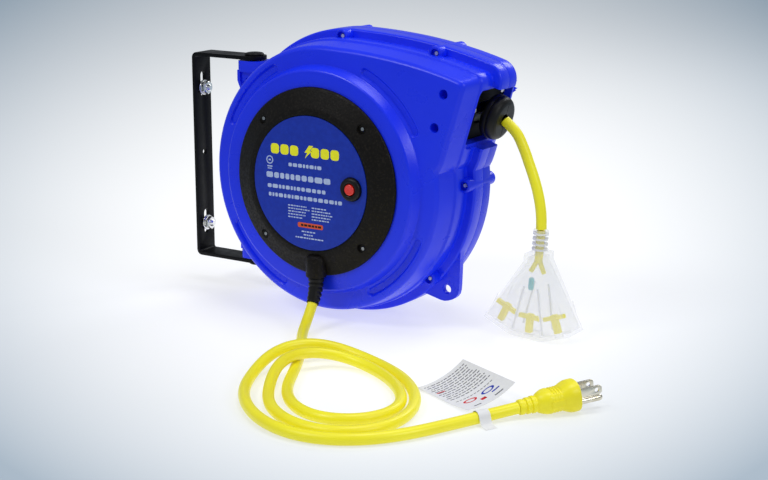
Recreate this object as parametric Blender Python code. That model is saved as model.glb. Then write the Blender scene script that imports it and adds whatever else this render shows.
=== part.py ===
"""Wall-mounted extension cord reel: swivel bracket, split casing, sprung drum, cords."""
import math

import bmesh
import bpy
import numpy as np
from mathutils import Matrix, Vector

for old in list(bpy.data.objects):
    bpy.data.objects.remove(old, do_unlink=True)

MM = 0.001

# Frame: the bracket's back face is X = 0, the casing's parting plane is Y = 0.
AXIS = Vector((167.0 * MM, 0.0, 22.0 * MM))     # centre of the drum
FLOOR_Z = -95.5 * MM                            # surface the loose cord lies on
GAP = 0.3 * MM                                  # clearance between touching pieces

# Casing
CASE_R = 106.7 * MM
CASE_HALF_DEPTH = 54.0 * MM
WALL = 2.6 * MM
BAND_HALF = 13.0 * MM                           # half width of the joint band
BAND_STEP = 10.2 * MM                           # how far the band stands out
PART_GAP = 0.15 * MM
RAISED_R = 88.8 * MM                            # raised disc on the front face
RAISED_Y = -62.6 * MM
RAISED_FOOT_R = 91.6 * MM
FRONT_OPENING_R = 62.0 * MM
NOSE_CORNER = (124.0 * MM, 84.2 * MM)           # upper corner beside the mouth
NOSE_CORNER_R = 4.6 * MM
NOSE_FOOT = (109.6 * MM, 22.1 * MM)
NOSE_TOP_START = math.radians(86.0)
NOSE_TOP_PULL = (74.0 * MM, 104.2 * MM)
JOG_ANGLE = math.radians(9.0)

# Mouth, in its own tilted frame: x out of the mouth, y across, z up along it
MOUTH_CENTRE = Vector((287.2 * MM, 0.0, 79.0 * MM))
MOUTH_TILT = math.radians(15.6)
MOUTH_HALF_W = 28.0 * MM
MOUTH_HALF_H = 22.0 * MM
MOUTH_RIM = 2.4 * MM
WALLS = ((-27.6 * MM, -24.0 * MM, 8.4 * MM), (24.0 * MM, 27.6 * MM, 9.6 * MM))

# Bracket
ARM_PIVOT_X = 60.0 * MM
BRACKET_Z = (-71.2 * MM, 109.0 * MM)
BRACKET_W = 21.0 * MM
BRACKET_T = 3.2 * MM
SLOT_HALF_L = 11.0 * MM
SLOT_R = 3.3 * MM
SLOT_Z = (-42.3 * MM, 80.3 * MM)
STUD_Z = (-43.4 * MM, 77.3 * MM)
STUD_R = 2.9 * MM
CENTRE_HOLE_Z = 20.2 * MM

# Lugs and pivots
LUG_HALF = 12.0 * MM
LUG_LEFT_X = 49.0 * MM
LUG_H = 24.0 * MM
BUSH_R = 5.5 * MM
BUSH_BORE = 4.3 * MM
PIVOT_R = 4.0 * MM
BUSH_L = 12.0 * MM

# Cover, label and reset button
COVER_R = 75.9 * MM
COVER_BACK_Y = -62.9 * MM
COVER_FRONT_Y = -71.6 * MM
LABEL_R = 54.0 * MM
LABEL_T = 1.0 * MM
LABEL_FACE_Y = -72.0 * MM
COVER_SCREW_R = 67.1 * MM
BEZEL_X = 40.0 * MM
BEZEL_R = 9.4 * MM
BUTTON_R = 4.4 * MM

# Cords
CORD_R = 4.25 * MM
RELIEF_X = 4.0 * MM
RELIEF_Y = -69.5 * MM

# Drum
AXLE_R = 8.0 * MM
HUB_R = 45.0 * MM
DRUM_FLANGE_R = 98.0 * MM
DRUM_Y = (-30.0 * MM, 24.0 * MM)
RATCHET_R = 62.0 * MM
RATCHET_TEETH = 20
PAWL_PIVOT = (0.0, 82.0 * MM)

SEGMENTS = 40

collection = bpy.data.collections.new("cord_reel")
cutters = bpy.data.collections.new("cutters")
bpy.context.scene.collection.children.link(collection)
bpy.context.scene.collection.children.link(cutters)


def material(name, colour, roughness, metallic=0.0, alpha=1.0):
    mat = bpy.data.materials.new(name)
    mat.use_nodes = True
    shader = mat.node_tree.nodes["Principled BSDF"]
    shader.inputs["Base Color"].default_value = (*colour, 1.0)
    shader.inputs["Roughness"].default_value = roughness
    shader.inputs["Metallic"].default_value = metallic
    shader.inputs["Alpha"].default_value = alpha
    mat.diffuse_color = (*colour, alpha)
    return mat


BLUE = material("casing_blue", (0.010, 0.035, 0.85), 0.38)
LABEL_BLUE = material("label_blue", (0.008, 0.05, 0.42), 0.45)
BLACK = material("textured_black", (0.022, 0.021, 0.020), 0.62)
POWDER = material("powder_coat_black", (0.012, 0.012, 0.013), 0.5)
STEEL = material("zinc_steel", (0.62, 0.62, 0.60), 0.32, 1.0)
BRASS = material("brass", (0.72, 0.50, 0.18), 0.3, 1.0)
RED = material("button_red", (0.62, 0.02, 0.012), 0.35)
YELLOW = material("cord_yellow", (0.93, 0.80, 0.03), 0.48)
CLEAR = material("clear_vinyl", (0.86, 0.90, 0.94), 0.12, 0.0, 0.35)
PALE = material("nylon_white", (0.80, 0.80, 0.77), 0.45)
LAMP = material("lamp_green", (0.10, 0.62, 0.55), 0.25)
PAPER = material("tag_paper", (0.86, 0.86, 0.85), 0.7)
GREY = material("inner_grey", (0.16, 0.16, 0.17), 0.55)


def add_object(name, bm, mat, origin=(0, 0, 0), rotation=None, group=None, smooth=40.0):
    """Mesh coordinates are relative to origin."""
    bmesh.ops.remove_doubles(bm, verts=bm.verts, dist=0.00001)
    bmesh.ops.recalc_face_normals(bm, faces=bm.faces)
    mesh = bpy.data.meshes.new(name)
    bm.to_mesh(mesh)
    bm.free()
    if mat is not None:
        mesh.materials.append(mat)
    obj = bpy.data.objects.new(name, mesh)
    obj.location = origin
    if rotation is not None:
        obj.rotation_euler = rotation
    (group or collection).objects.link(obj)
    for poly in mesh.polygons:
        poly.use_smooth = True
    mesh.set_sharp_from_angle(angle=math.radians(smooth))
    return obj


def boolean(target, operation, bm, label):
    """Every solid in bm is clear of the others."""
    name = f"{target.name}_{label}"
    tool = add_object(name, bm, None, target.location, target.rotation_euler, cutters)
    tool.hide_render = True
    tool.display_type = "WIRE"
    mod = target.modifiers.new(label, "BOOLEAN")
    mod.operation = operation
    mod.solver = "EXACT"
    mod.object = tool
    return mod


def ring_mesh(bm, rings, closed=False):
    """Skin equal rings of points; the ends are capped unless the skin closes on itself."""
    rows = []
    for ring in rings:
        rows.append([bm.verts.new(point) for point in ring])
    pairs = list(zip(rows, rows[1:]))
    if closed:
        pairs.append((rows[-1], rows[0]))
    count = len(rows[0])
    for a, b in pairs:
        for i in range(count):
            j = (i + 1) % count
            bm.faces.new((a[i], a[j], b[j], b[i]))
    if not closed:
        bm.faces.new(rows[0])
        bm.faces.new(tuple(reversed(rows[-1])))
    return bm


def basis(axis):
    """Matrix that carries local Z onto axis."""
    return Vector((0, 0, 1)).rotation_difference(Vector(axis)).to_matrix().to_4x4()


def turned(profile, axis=(0, 1, 0), centre=(0, 0, 0), segments=SEGMENTS, bm=None, closed=False):
    """profile is (radius, height along axis) points; closed makes a ring with a bore."""
    bm = bm or bmesh.new()
    frame = Matrix.Translation(centre) @ basis(axis)
    rings = []
    for radius, height in profile:
        ring = []
        for k in range(segments):
            angle = 2 * math.pi * k / segments
            ring.append(frame @ Vector((radius * math.cos(angle), radius * math.sin(angle), height)))
        rings.append(ring)
    return ring_mesh(bm, rings, closed)


def cylinder(radius, start, end, axis=(0, 1, 0), centre=(0, 0, 0), segments=24, bm=None):
    return turned([(radius, start), (radius, end)], axis, centre, segments, bm)


def tube(outer, inner, start, end, axis=(0, 1, 0), centre=(0, 0, 0), segments=32, bm=None):
    profile = [(outer, start), (outer, end), (inner, end), (inner, start)]
    return turned(profile, axis, centre, segments, bm, closed=True)


def box(low, high, bm=None, matrix=None):
    bm = bm or bmesh.new()
    matrix = matrix or Matrix.Identity(4)
    (x0, y0, z0), (x1, y1, z1) = low, high
    lower = [matrix @ Vector(p) for p in ((x0, y0, z0), (x1, y0, z0), (x1, y1, z0), (x0, y1, z0))]
    upper = [matrix @ Vector(p) for p in ((x0, y0, z1), (x1, y0, z1), (x1, y1, z1), (x0, y1, z1))]
    return ring_mesh(bm, [lower, upper])


def bevel_all(bm, width, segments=2, angle=30.0):
    edges = [e for e in bm.edges if e.is_manifold and e.calc_face_angle(0) > math.radians(angle)]
    bmesh.ops.bevel(bm, geom=edges, offset=width, segments=segments, affect="EDGES", profile=0.6)
    return bm


def prism(outline, start, end, matrix=None, bm=None):
    """outline is (u, v) points; the prism runs from start to end along local Y."""
    bm = bm or bmesh.new()
    matrix = matrix or Matrix.Identity(4)
    rings = []
    for height in (start, end):
        rings.append([matrix @ Vector((u, height, v)) for u, v in outline])
    return ring_mesh(bm, rings)


def arc(centre, radius, start, end, steps):
    points = []
    for k in range(steps + 1):
        angle = math.radians(start + (end - start) * k / steps)
        points.append((centre[0] + radius * math.cos(angle), centre[1] + radius * math.sin(angle)))
    return points


# ---------------------------------------------------------------- casing outline

def base_outline():
    """Dense outline of the front face round the drum's centre, anticlockwise from the jog."""
    line = [Vector((CASE_R * math.cos(JOG_ANGLE), CASE_R * math.sin(JOG_ANGLE)))]
    foot = Vector(NOSE_FOOT)
    corner = Vector(NOSE_CORNER)
    top = Vector((CASE_R * math.cos(NOSE_TOP_START), CASE_R * math.sin(NOSE_TOP_START)))
    side_angle = math.degrees(math.atan2(-(corner - foot).x, (corner - foot).y))
    turn = arc(corner, NOSE_CORNER_R, side_angle, 75.0, 8)
    for k in range(21):
        line.append(foot.lerp(Vector(turn[0]), k / 20))
    line += [Vector(p) for p in turn[1:]]
    pull = Vector(NOSE_TOP_PULL)
    first = Vector(turn[-1])
    for k in range(1, 30):
        t = k / 30
        line.append(first * (1 - t) ** 2 + pull * 2 * t * (1 - t) + top * t ** 2)
    steps = 150
    start = NOSE_TOP_START
    sweep = 2 * math.pi + JOG_ANGLE - start
    for k in range(steps):
        angle = start + sweep * k / steps
        line.append(Vector((CASE_R * math.cos(angle), CASE_R * math.sin(angle))))
    return np.array([tuple(p) for p in line])


BASE = base_outline()


def ring_angles():
    """Directions of the casing's rings, closer together round the mouth corner and jog."""
    plain = [math.radians(a) for a in range(22, 354, 8) if not 26 <= a <= 50]
    fine = [math.radians(a) for a in (0, 6, 9, 11, 14, 26, 31, 33, 34.2, 35.4, 37, 41, 48)]
    merged = sorted(plain + fine)
    return [a for k, a in enumerate(merged) if k == 0 or a - merged[k - 1] > 0.008]


ANGLES = ring_angles()


def outline(offset, height):
    """The casing outline grown by offset, as a ring at the given Y."""
    ahead = np.roll(BASE, -1, axis=0)
    behind = np.roll(BASE, 1, axis=0)
    tangent = ahead - behind
    normal = np.stack([tangent[:, 1], -tangent[:, 0]], axis=1)
    normal /= np.linalg.norm(normal, axis=1)[:, None]
    grown = BASE + normal * offset
    after = np.roll(grown, -1, axis=0)
    ring = []
    for angle in ANGLES:
        ray = np.array([math.cos(angle), math.sin(angle)])
        side = np.array([-ray[1], ray[0]])
        a = grown @ side
        b = after @ side
        hit = (a <= 0) & (b > 0) & ((grown @ ray) > 0)
        t = -a[hit] / (b[hit] - a[hit])
        reach = ((grown[hit] + (after[hit] - grown[hit]) * t[:, None]) @ ray).max()
        ring.append(Vector((ray[0] * reach, height, ray[1] * reach)))
    return ring


def circle(radius, height):
    return [Vector((radius * math.cos(a), height, radius * math.sin(a))) for a in ANGLES]


def mouth_matrix(origin):
    """From the mouth's own frame to coordinates relative to origin."""
    return Matrix.Translation(MOUTH_CENTRE - Vector(origin)) @ Matrix.Rotation(MOUTH_TILT, 4, "Y")


SCREW_ANGLES = [math.radians(a) for a in (91.5, 1.0, 316.0)]
SCREW_R = 111.6 * MM
SCREW_SPOTS = [(SCREW_R * math.cos(a), SCREW_R * math.sin(a)) for a in SCREW_ANGLES]
SCREW_SPOTS.append((84.5 * MM, 103.4 * MM))
BOSS_R = 5.6 * MM
HEAD_R = 3.4 * MM
HEAD_Y = -19.5 * MM

BLIND_SPOTS = [(111.5 * MM, 77.8 * MM), (103.8 * MM, 51.6 * MM)]
BLIND_R = 3.7 * MM


def lug_solids(front):
    """The half of both pivot lugs that belongs to one shell."""
    bm = bmesh.new()
    sign = -1 if front else 1
    near, far = sorted((sign * PART_GAP, sign * LUG_HALF))
    arm = BRACKET_T + 0.9 * MM
    for top in (True, False):
        if top:
            z1 = BRACKET_Z[1] - arm - AXIS.z
            z0 = z1 - LUG_H
        else:
            z0 = BRACKET_Z[0] + arm - AXIS.z
            z1 = z0 + LUG_H
        solid = bmesh.new()
        reach = 98.0 * MM
        low = (LUG_LEFT_X - AXIS.x, near, z0)
        high = (-math.sqrt(reach ** 2 - min(abs(z0), abs(z1)) ** 2), far, z1)
        box(low, high, solid)
        edges = [e for e in solid.edges if abs((e.verts[0].co - e.verts[1].co).normalized().y) > 0.9
                 and e.verts[0].co.x < low[0] + 0.001]
        bmesh.ops.bevel(solid, geom=edges, offset=2.5 * MM, segments=3, affect="EDGES", profile=0.5)
        temp = bpy.data.meshes.new("lug")
        solid.to_mesh(temp)
        solid.free()
        bm.from_mesh(temp)
        bpy.data.meshes.remove(temp)
    return bm


def lug_bores():
    bm = bmesh.new()
    x = ARM_PIVOT_X - AXIS.x
    top = BRACKET_Z[1] - BRACKET_T - AXIS.z
    low = BRACKET_Z[0] + BRACKET_T - AXIS.z
    cylinder(BUSH_R + GAP, top - 16 * MM, top + 2 * MM, (0, 0, 1), (x, 0, 0), 24, bm)
    cylinder(BUSH_R + GAP, low - 2 * MM, low + 16 * MM, (0, 0, 1), (x, 0, 0), 24, bm)
    return bm


def screw_bosses(front):
    bm = bmesh.new()
    for spot in SCREW_SPOTS:
        span = (-22.0 * MM, -PART_GAP) if front else (PART_GAP, 20.0 * MM)
        cylinder(BOSS_R, span[0], span[1], (0, 1, 0), (spot[0], 0, spot[1]), 16, bm)
    return bm


def screw_holes(front):
    bm = bmesh.new()
    for x, z in SCREW_SPOTS:
        if front:
            turned([(HEAD_R + GAP, -24 * MM), (HEAD_R + GAP, HEAD_Y + GAP), (2.0 * MM, HEAD_Y + GAP),
                    (2.0 * MM, 2 * MM)], (0, 1, 0), (x, 0, z), 16, bm)
        else:
            cylinder(1.9 * MM, -2 * MM, 14 * MM, (0, 1, 0), (x, 0, z), 16, bm)
    return bm


def mouth_block(front):
    """Collar round the mouth; its outer face stands a rim's height proud."""
    m = mouth_matrix(AXIS)
    sign = -1 if front else 1
    near, far = sorted((sign * PART_GAP, sign * (MOUTH_HALF_W + MOUTH_RIM)))
    height = MOUTH_HALF_H + MOUTH_RIM
    return box((-14 * MM, near, -height), (1.6 * MM, far, height), None, m)


def mouth_walls(front):
    """Walls that close the band's hollow just above and below the mouth."""
    m = mouth_matrix(AXIS)
    sign = -1 if front else 1
    near, far = sorted((sign * PART_GAP, sign * (BAND_HALF - 1.0 * MM)))
    bm = bmesh.new()
    for low, high, reach in WALLS:
        box((-12 * MM, near, low), (reach, far, high), bm, m)
    return bm


def mouth_clearance():
    m = mouth_matrix(AXIS)
    height = MOUTH_HALF_H + MOUTH_RIM + 0.6 * MM
    width = MOUTH_HALF_W + MOUTH_RIM + 0.6 * MM
    return box((1.6 * MM, -width, -height), (40 * MM, width, height), None, m)


def mouth_hole():
    m = mouth_matrix(AXIS)
    return box((-30 * MM, -MOUTH_HALF_W, -MOUTH_HALF_H), (20 * MM, MOUTH_HALF_W, MOUTH_HALF_H), None, m)


def arc_recess(bm, middle):
    outer = arc((0, 0), 101.0 * MM, middle - 20, middle + 20, 10)
    inner = arc((0, 0), 94.0 * MM, middle + 20, middle - 20, 10)
    return prism(outer + inner, -60 * MM, -CASE_HALF_DEPTH + 1.6 * MM, None, bm)


def front_shell():
    parting = -PART_GAP
    rings = [
        circle(FRONT_OPENING_R, RAISED_Y),
        circle(RAISED_R - 1.2 * MM, RAISED_Y),
        circle(RAISED_R + 0.3 * MM, RAISED_Y + 0.8 * MM),
        circle(RAISED_FOOT_R + 0.6 * MM, -CASE_HALF_DEPTH),
        outline(-2.4 * MM, -CASE_HALF_DEPTH),
        outline(0.4 * MM, -CASE_HALF_DEPTH + 2.6 * MM),
        outline(2.4 * MM, -32 * MM),
        outline(3.9 * MM, -31 * MM),
        outline(4.3 * MM, -20 * MM),
        outline(2.6 * MM, -18.6 * MM),
        outline(3.2 * MM, -BAND_HALF + 0.2 * MM),
        outline(BAND_STEP - 1.2 * MM, -BAND_HALF),
        outline(BAND_STEP, -BAND_HALF + 1.2 * MM),
        outline(BAND_STEP + 0.2 * MM, parting),
        outline(BAND_STEP - WALL, parting),
        outline(BAND_STEP - WALL, -BAND_HALF + WALL),
        outline(0.4 * MM, -BAND_HALF + WALL),
        outline(-1.0 * MM, -32 * MM),
        outline(-2.8 * MM, -CASE_HALF_DEPTH + WALL + 1 * MM),
        circle(RAISED_FOOT_R - 1.6 * MM, -CASE_HALF_DEPTH + WALL),
        circle(RAISED_R - 2.2 * MM, RAISED_Y + WALL),
        circle(FRONT_OPENING_R, RAISED_Y + WALL),
    ]
    shell = add_object("front_shell", ring_mesh(bmesh.new(), rings, True), BLUE, AXIS)
    boolean(shell, "UNION", lug_solids(True), "lugs")
    boolean(shell, "UNION", screw_bosses(True), "bosses")
    boolean(shell, "UNION", mouth_block(True), "collar")
    boolean(shell, "UNION", mouth_walls(True), "walls")
    blind = bmesh.new()
    for x, z in BLIND_SPOTS:
        cylinder(BLIND_R + 2.2 * MM, -CASE_HALF_DEPTH + 0.8 * MM, -42 * MM, (0, 1, 0), (x, 0, z), 20, blind)
    ear = [(103.6, -50), (102.2, -86), (100.2, -91.5), (95, -95.6), (89, -97), (66, -92), (77, -69)]
    prism([(x * MM, z * MM) for x, z in ear], -11 * MM, -6 * MM, None, blind)
    boolean(shell, "UNION", blind, "ear")
    boolean(shell, "DIFFERENCE", mouth_clearance(), "clearance")
    boolean(shell, "DIFFERENCE", mouth_hole(), "mouth")
    holes = screw_holes(True)
    for x, z in BLIND_SPOTS:
        cylinder(BLIND_R, -60 * MM, -44.5 * MM, (0, 1, 0), (x, 0, z), 16, holes)
    for angle in (45, 135, 225, 315):
        a = math.radians(angle)
        spot = (COVER_SCREW_R * math.cos(a), 0, COVER_SCREW_R * math.sin(a))
        cylinder(1.7 * MM, -70 * MM, -50 * MM, (0, 1, 0), spot, 12, holes)
    cylinder(3.6 * MM, -20 * MM, 0, (0, 1, 0), (91 * MM, 0, -87 * MM), 20, holes)
    boolean(shell, "DIFFERENCE", holes, "holes")
    recesses = bmesh.new()
    for middle in (47, 137, 227, 317):
        arc_recess(recesses, middle)
    boolean(shell, "DIFFERENCE", recesses, "recesses")
    boolean(shell, "DIFFERENCE", lug_bores(), "bores")
    return shell


def rear_shell():
    parting = PART_GAP
    rings = [
        circle(AXLE_R + GAP, CASE_HALF_DEPTH),
        circle(16 * MM, CASE_HALF_DEPTH),
        circle(60 * MM, CASE_HALF_DEPTH),
        circle(64 * MM, CASE_HALF_DEPTH - 0.9 * MM),
        outline(-19 * MM, CASE_HALF_DEPTH - 0.9 * MM),
        outline(-13.5 * MM, CASE_HALF_DEPTH - 5 * MM),
        outline(1 * MM, 26 * MM),
        outline(3.2 * MM, BAND_HALF + 1.4 * MM),
        outline(BAND_STEP - 1.2 * MM, BAND_HALF),
        outline(BAND_STEP, BAND_HALF - 1.2 * MM),
        outline(BAND_STEP + 0.2 * MM, parting),
        outline(BAND_STEP - WALL, parting),
        outline(BAND_STEP - WALL, BAND_HALF - WALL),
        outline(0.4 * MM, BAND_HALF - WALL),
        outline(-1.6 * MM, 25 * MM),
        outline(-15.5 * MM, 47 * MM),
        outline(-21 * MM, 50 * MM),
        circle(64 * MM, CASE_HALF_DEPTH - WALL - 1 * MM),
        circle(16 * MM, CASE_HALF_DEPTH - WALL),
        circle(AXLE_R + GAP, CASE_HALF_DEPTH - WALL - 4 * MM),
    ]
    shell = add_object("rear_shell", ring_mesh(bmesh.new(), rings, True), BLUE, AXIS)
    boolean(shell, "UNION", lug_solids(False), "lugs")
    boolean(shell, "UNION", screw_bosses(False), "bosses")
    boolean(shell, "UNION", mouth_block(False), "collar")
    boolean(shell, "UNION", mouth_walls(False), "walls")
    boolean(shell, "DIFFERENCE", mouth_clearance(), "clearance")
    boolean(shell, "DIFFERENCE", mouth_hole(), "mouth")
    boolean(shell, "DIFFERENCE", screw_holes(False), "holes")
    boolean(shell, "DIFFERENCE", lug_bores(), "bores")
    return shell


def case_screws():
    for k, (x, z) in enumerate(SCREW_SPOTS, 1):
        centre = AXIS + Vector((x, 0, z))
        profile = [(1.2 * MM, HEAD_Y - 2.2 * MM), (HEAD_R - 0.6 * MM, HEAD_Y - 1.7 * MM),
                   (HEAD_R, HEAD_Y - 0.8 * MM), (HEAD_R, HEAD_Y), (1.5 * MM, HEAD_Y), (1.5 * MM, 12 * MM)]
        add_object(f"case_screw_{k}", turned(profile, segments=14), STEEL, centre)


# ---------------------------------------------------------------- bracket

def bracket():
    half = BRACKET_W / 2
    z0, z1 = BRACKET_Z
    radius = 5.0 * MM
    length = ARM_PIVOT_X
    outer = [(length, z0), *arc((radius, z0 + radius), radius, 270, 180, 5),
             *arc((radius, z1 - radius), radius, 180, 90, 5), (length, z1)]
    inner_r = radius - BRACKET_T
    inner = [(length, z1 - BRACKET_T), *arc((radius, z1 - radius), inner_r, 90, 180, 5),
             *arc((radius, z0 + radius), inner_r, 180, 270, 5), (length, z0 + BRACKET_T)]
    bm = bmesh.new()
    prism(outer + inner, -half, half, None, bm)
    obj = add_object("bracket", bm, POWDER)
    ends = bmesh.new()
    cylinder(half, z1 - BRACKET_T, z1, (0, 0, 1), (length, 0, 0), 24, ends)
    cylinder(half, z0, z0 + BRACKET_T, (0, 0, 1), (length, 0, 0), 24, ends)
    boolean(obj, "UNION", ends, "arm_ends")
    holes = bmesh.new()
    for z in (z0, z1):
        cylinder(PIVOT_R + GAP, z - 8 * MM, z + 8 * MM, (0, 0, 1), (length, 0, 0), 16, holes)
    for z in SLOT_Z:
        shape = [*arc((0, z + SLOT_HALF_L - SLOT_R), SLOT_R, 0, 180, 5),
                 *arc((0, z - SLOT_HALF_L + SLOT_R), SLOT_R, 180, 360, 5)]
        prism(shape, -6 * MM, 10 * MM, Matrix.Rotation(math.radians(-90), 4, "Z"), holes)
    cylinder(2.6 * MM, -6 * MM, 10 * MM, (1, 0, 0), (0, 0, CENTRE_HOLE_Z), 20, holes)
    boolean(obj, "DIFFERENCE", holes, "holes")
    return obj


def wall_fasteners():
    for word, z in zip(("lower", "upper"), STUD_Z):
        start = BRACKET_T + GAP
        washer = tube(6.6 * MM, STUD_R + GAP, start, start + 1.2 * MM, (1, 0, 0), (0, 0, 0), 20)
        add_object(f"wall_washer_{word}", washer, STEEL, (0, 0, z))
        nut = bmesh.new()
        first = start + 1.2 * MM + GAP
        bore = (STUD_R + GAP) / math.cos(math.radians(30))
        turned([(4.9 * MM, first), (5.7 * MM, first + 0.5 * MM), (5.7 * MM, first + 3.9 * MM),
                (4.9 * MM, first + 4.4 * MM), (bore, first + 4.4 * MM), (bore, first)],
               (1, 0, 0), (0, 0, 0), 6, nut, closed=True)
        add_object(f"wall_nut_{word}", nut, STEEL, (0, 0, z), smooth=20.0)
        profile = [(STUD_R, 0.2 * MM), (STUD_R, 13.2 * MM), (STUD_R - 0.8 * MM, 14.0 * MM)]
        stud = turned(profile, (1, 0, 0), segments=12)
        add_object(f"wall_stud_{word}", stud, STEEL, (0, 0, z))


def pivots():
    for word, z, way in (("upper", BRACKET_Z[1], 1), ("lower", BRACKET_Z[0], -1)):
        head = [(PIVOT_R, -way * (BRACKET_T + 13 * MM)), (PIVOT_R, way * GAP), (8.2 * MM, way * GAP),
                (8.2 * MM, way * 1.4 * MM), (6.6 * MM, way * 2.6 * MM)]
        bolt = turned(head, (0, 0, 1), segments=20)
        add_object(f"pivot_bolt_{word}", bolt, POWDER, (ARM_PIVOT_X, 0, z))
        start = -way * (BRACKET_T + 1.2 * MM)
        bush = bmesh.new()
        low, high = sorted((start, start - way * BUSH_L))
        tube(BUSH_R, BUSH_BORE + 0.1 * MM, low, high, (0, 0, 1), (0, 0, 0), 20, bush)
        add_object(f"pivot_bush_{word}", bush, PALE, (ARM_PIVOT_X, 0, z))


# ---------------------------------------------------------------- cover and controls

def cover():
    front = COVER_FRONT_Y
    back = COVER_BACK_Y
    seat = LABEL_FACE_Y + LABEL_T + GAP
    profile = [(COVER_R, back), (COVER_R, back - 1.0 * MM), (COVER_R - 0.8 * MM, back - 2.2 * MM),
               (73.6 * MM, back - 2.9 * MM), (60 * MM, front + 0.5 * MM), (57.0 * MM, front),
               (LABEL_R + 0.5 * MM, front), (LABEL_R + 0.5 * MM, seat), (20 * MM, seat), (5 * MM, seat),
               (5 * MM, seat + 2.0 * MM), (54 * MM, seat + 2.0 * MM), (59 * MM, front + 2.8 * MM),
               (73 * MM, back - 0.4 * MM), (73 * MM, back)]
    bm = turned(profile, segments=SEGMENTS, closed=True)
    obj = add_object("cover_ring", bm, BLACK, AXIS)
    hump = bmesh.new()
    turned([(6.0 * MM, -58.4 * MM), (8.4 * MM, -61 * MM), (8.4 * MM, -75.2 * MM), (7.8 * MM, -75.8 * MM)],
           (0, 0, 1), (RELIEF_X, RELIEF_Y, 0), 28, hump)
    boolean(obj, "UNION", hump, "hump")
    holes = bmesh.new()
    for angle in (45, 135, 225, 315):
        a = math.radians(angle)
        spot = (COVER_SCREW_R * math.cos(a), 0, COVER_SCREW_R * math.sin(a))
        turned([(3.9 * MM, -75 * MM), (3.9 * MM, -67.1 * MM), (2.0 * MM, -67.1 * MM), (2.0 * MM, -60 * MM)],
               (0, 1, 0), spot, 14, holes)
    cylinder(BEZEL_R - 1.6 * MM, -80 * MM, -60 * MM, (0, 1, 0), (BEZEL_X, 0, 0), 28, holes)
    boolean(obj, "DIFFERENCE", holes, "holes")
    below = bmesh.new()
    box((-20 * MM, back, -95 * MM), (30 * MM, back + 20 * MM, -40 * MM), below)
    boolean(obj, "DIFFERENCE", below, "hump_back")
    bore = bmesh.new()
    cylinder(CORD_R + 1.9 * MM, -90 * MM, -64 * MM, (0, 0, 1), (RELIEF_X, RELIEF_Y, 0), 24, bore)
    boolean(obj, "DIFFERENCE", bore, "cord_bore")
    label = turned([(LABEL_R, LABEL_FACE_Y), (LABEL_R, LABEL_FACE_Y + LABEL_T)], segments=SEGMENTS)
    disc = add_object("label_disc", label, LABEL_BLUE, AXIS)
    window = cylinder(BEZEL_R + GAP, -80 * MM, -60 * MM, (0, 1, 0), (BEZEL_X, 0, 0), 32)
    boolean(disc, "DIFFERENCE", window, "window")
    for k, angle in enumerate((45, 135, 225, 315), 1):
        a = math.radians(angle)
        spot = AXIS + Vector((COVER_SCREW_R * math.cos(a), 0, COVER_SCREW_R * math.sin(a)))
        profile = [(1.0 * MM, -68.6 * MM), (3.0 * MM, -69.0 * MM), (3.5 * MM, -68.4 * MM),
                   (3.5 * MM, -67.4 * MM), (1.4 * MM, -67.4 * MM), (1.4 * MM, -57 * MM)]
        add_object(f"cover_screw_{k}", turned(profile, segments=14), POWDER, spot)


def reset():
    """Push-to-reset breaker: bezel, sliding button, and the case behind the cover."""
    place = AXIS + Vector((BEZEL_X, 0, 0))
    base = LABEL_FACE_Y + LABEL_T + GAP
    seat = base - GAP - 0.2 * MM
    profile = [(BEZEL_R, -71.9 * MM), (BEZEL_R - 0.3 * MM, -74.4 * MM), (BEZEL_R - 1.6 * MM, -75.4 * MM),
               (BUTTON_R + 1.4 * MM, -75.4 * MM), (BUTTON_R + 0.4 * MM, -74.6 * MM),
               (BUTTON_R + 0.4 * MM, -66.0 * MM), (BEZEL_R - 2.0 * MM, -66.0 * MM),
               (BEZEL_R - 2.0 * MM, seat), (BEZEL_R, seat)]
    add_object("reset_bezel", turned(profile, segments=24, closed=True), BLACK, place)
    button = [(BUTTON_R - 1.0 * MM, -76.0 * MM), (BUTTON_R, -75.2 * MM), (BUTTON_R, -66.4 * MM)]
    button += [(1.6 * MM, -66.4 * MM), (1.6 * MM, -64.8 * MM)]
    add_object("reset_button", turned(button, segments=20), RED, place)
    body = box((-7.5 * MM, -62.1 * MM, -15 * MM), (7.5 * MM, -44 * MM, 15 * MM))
    add_object("breaker_body", bevel_all(body, 0.8 * MM, 1), BLACK, place)


# ---------------------------------------------------------------- inside the casing

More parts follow.
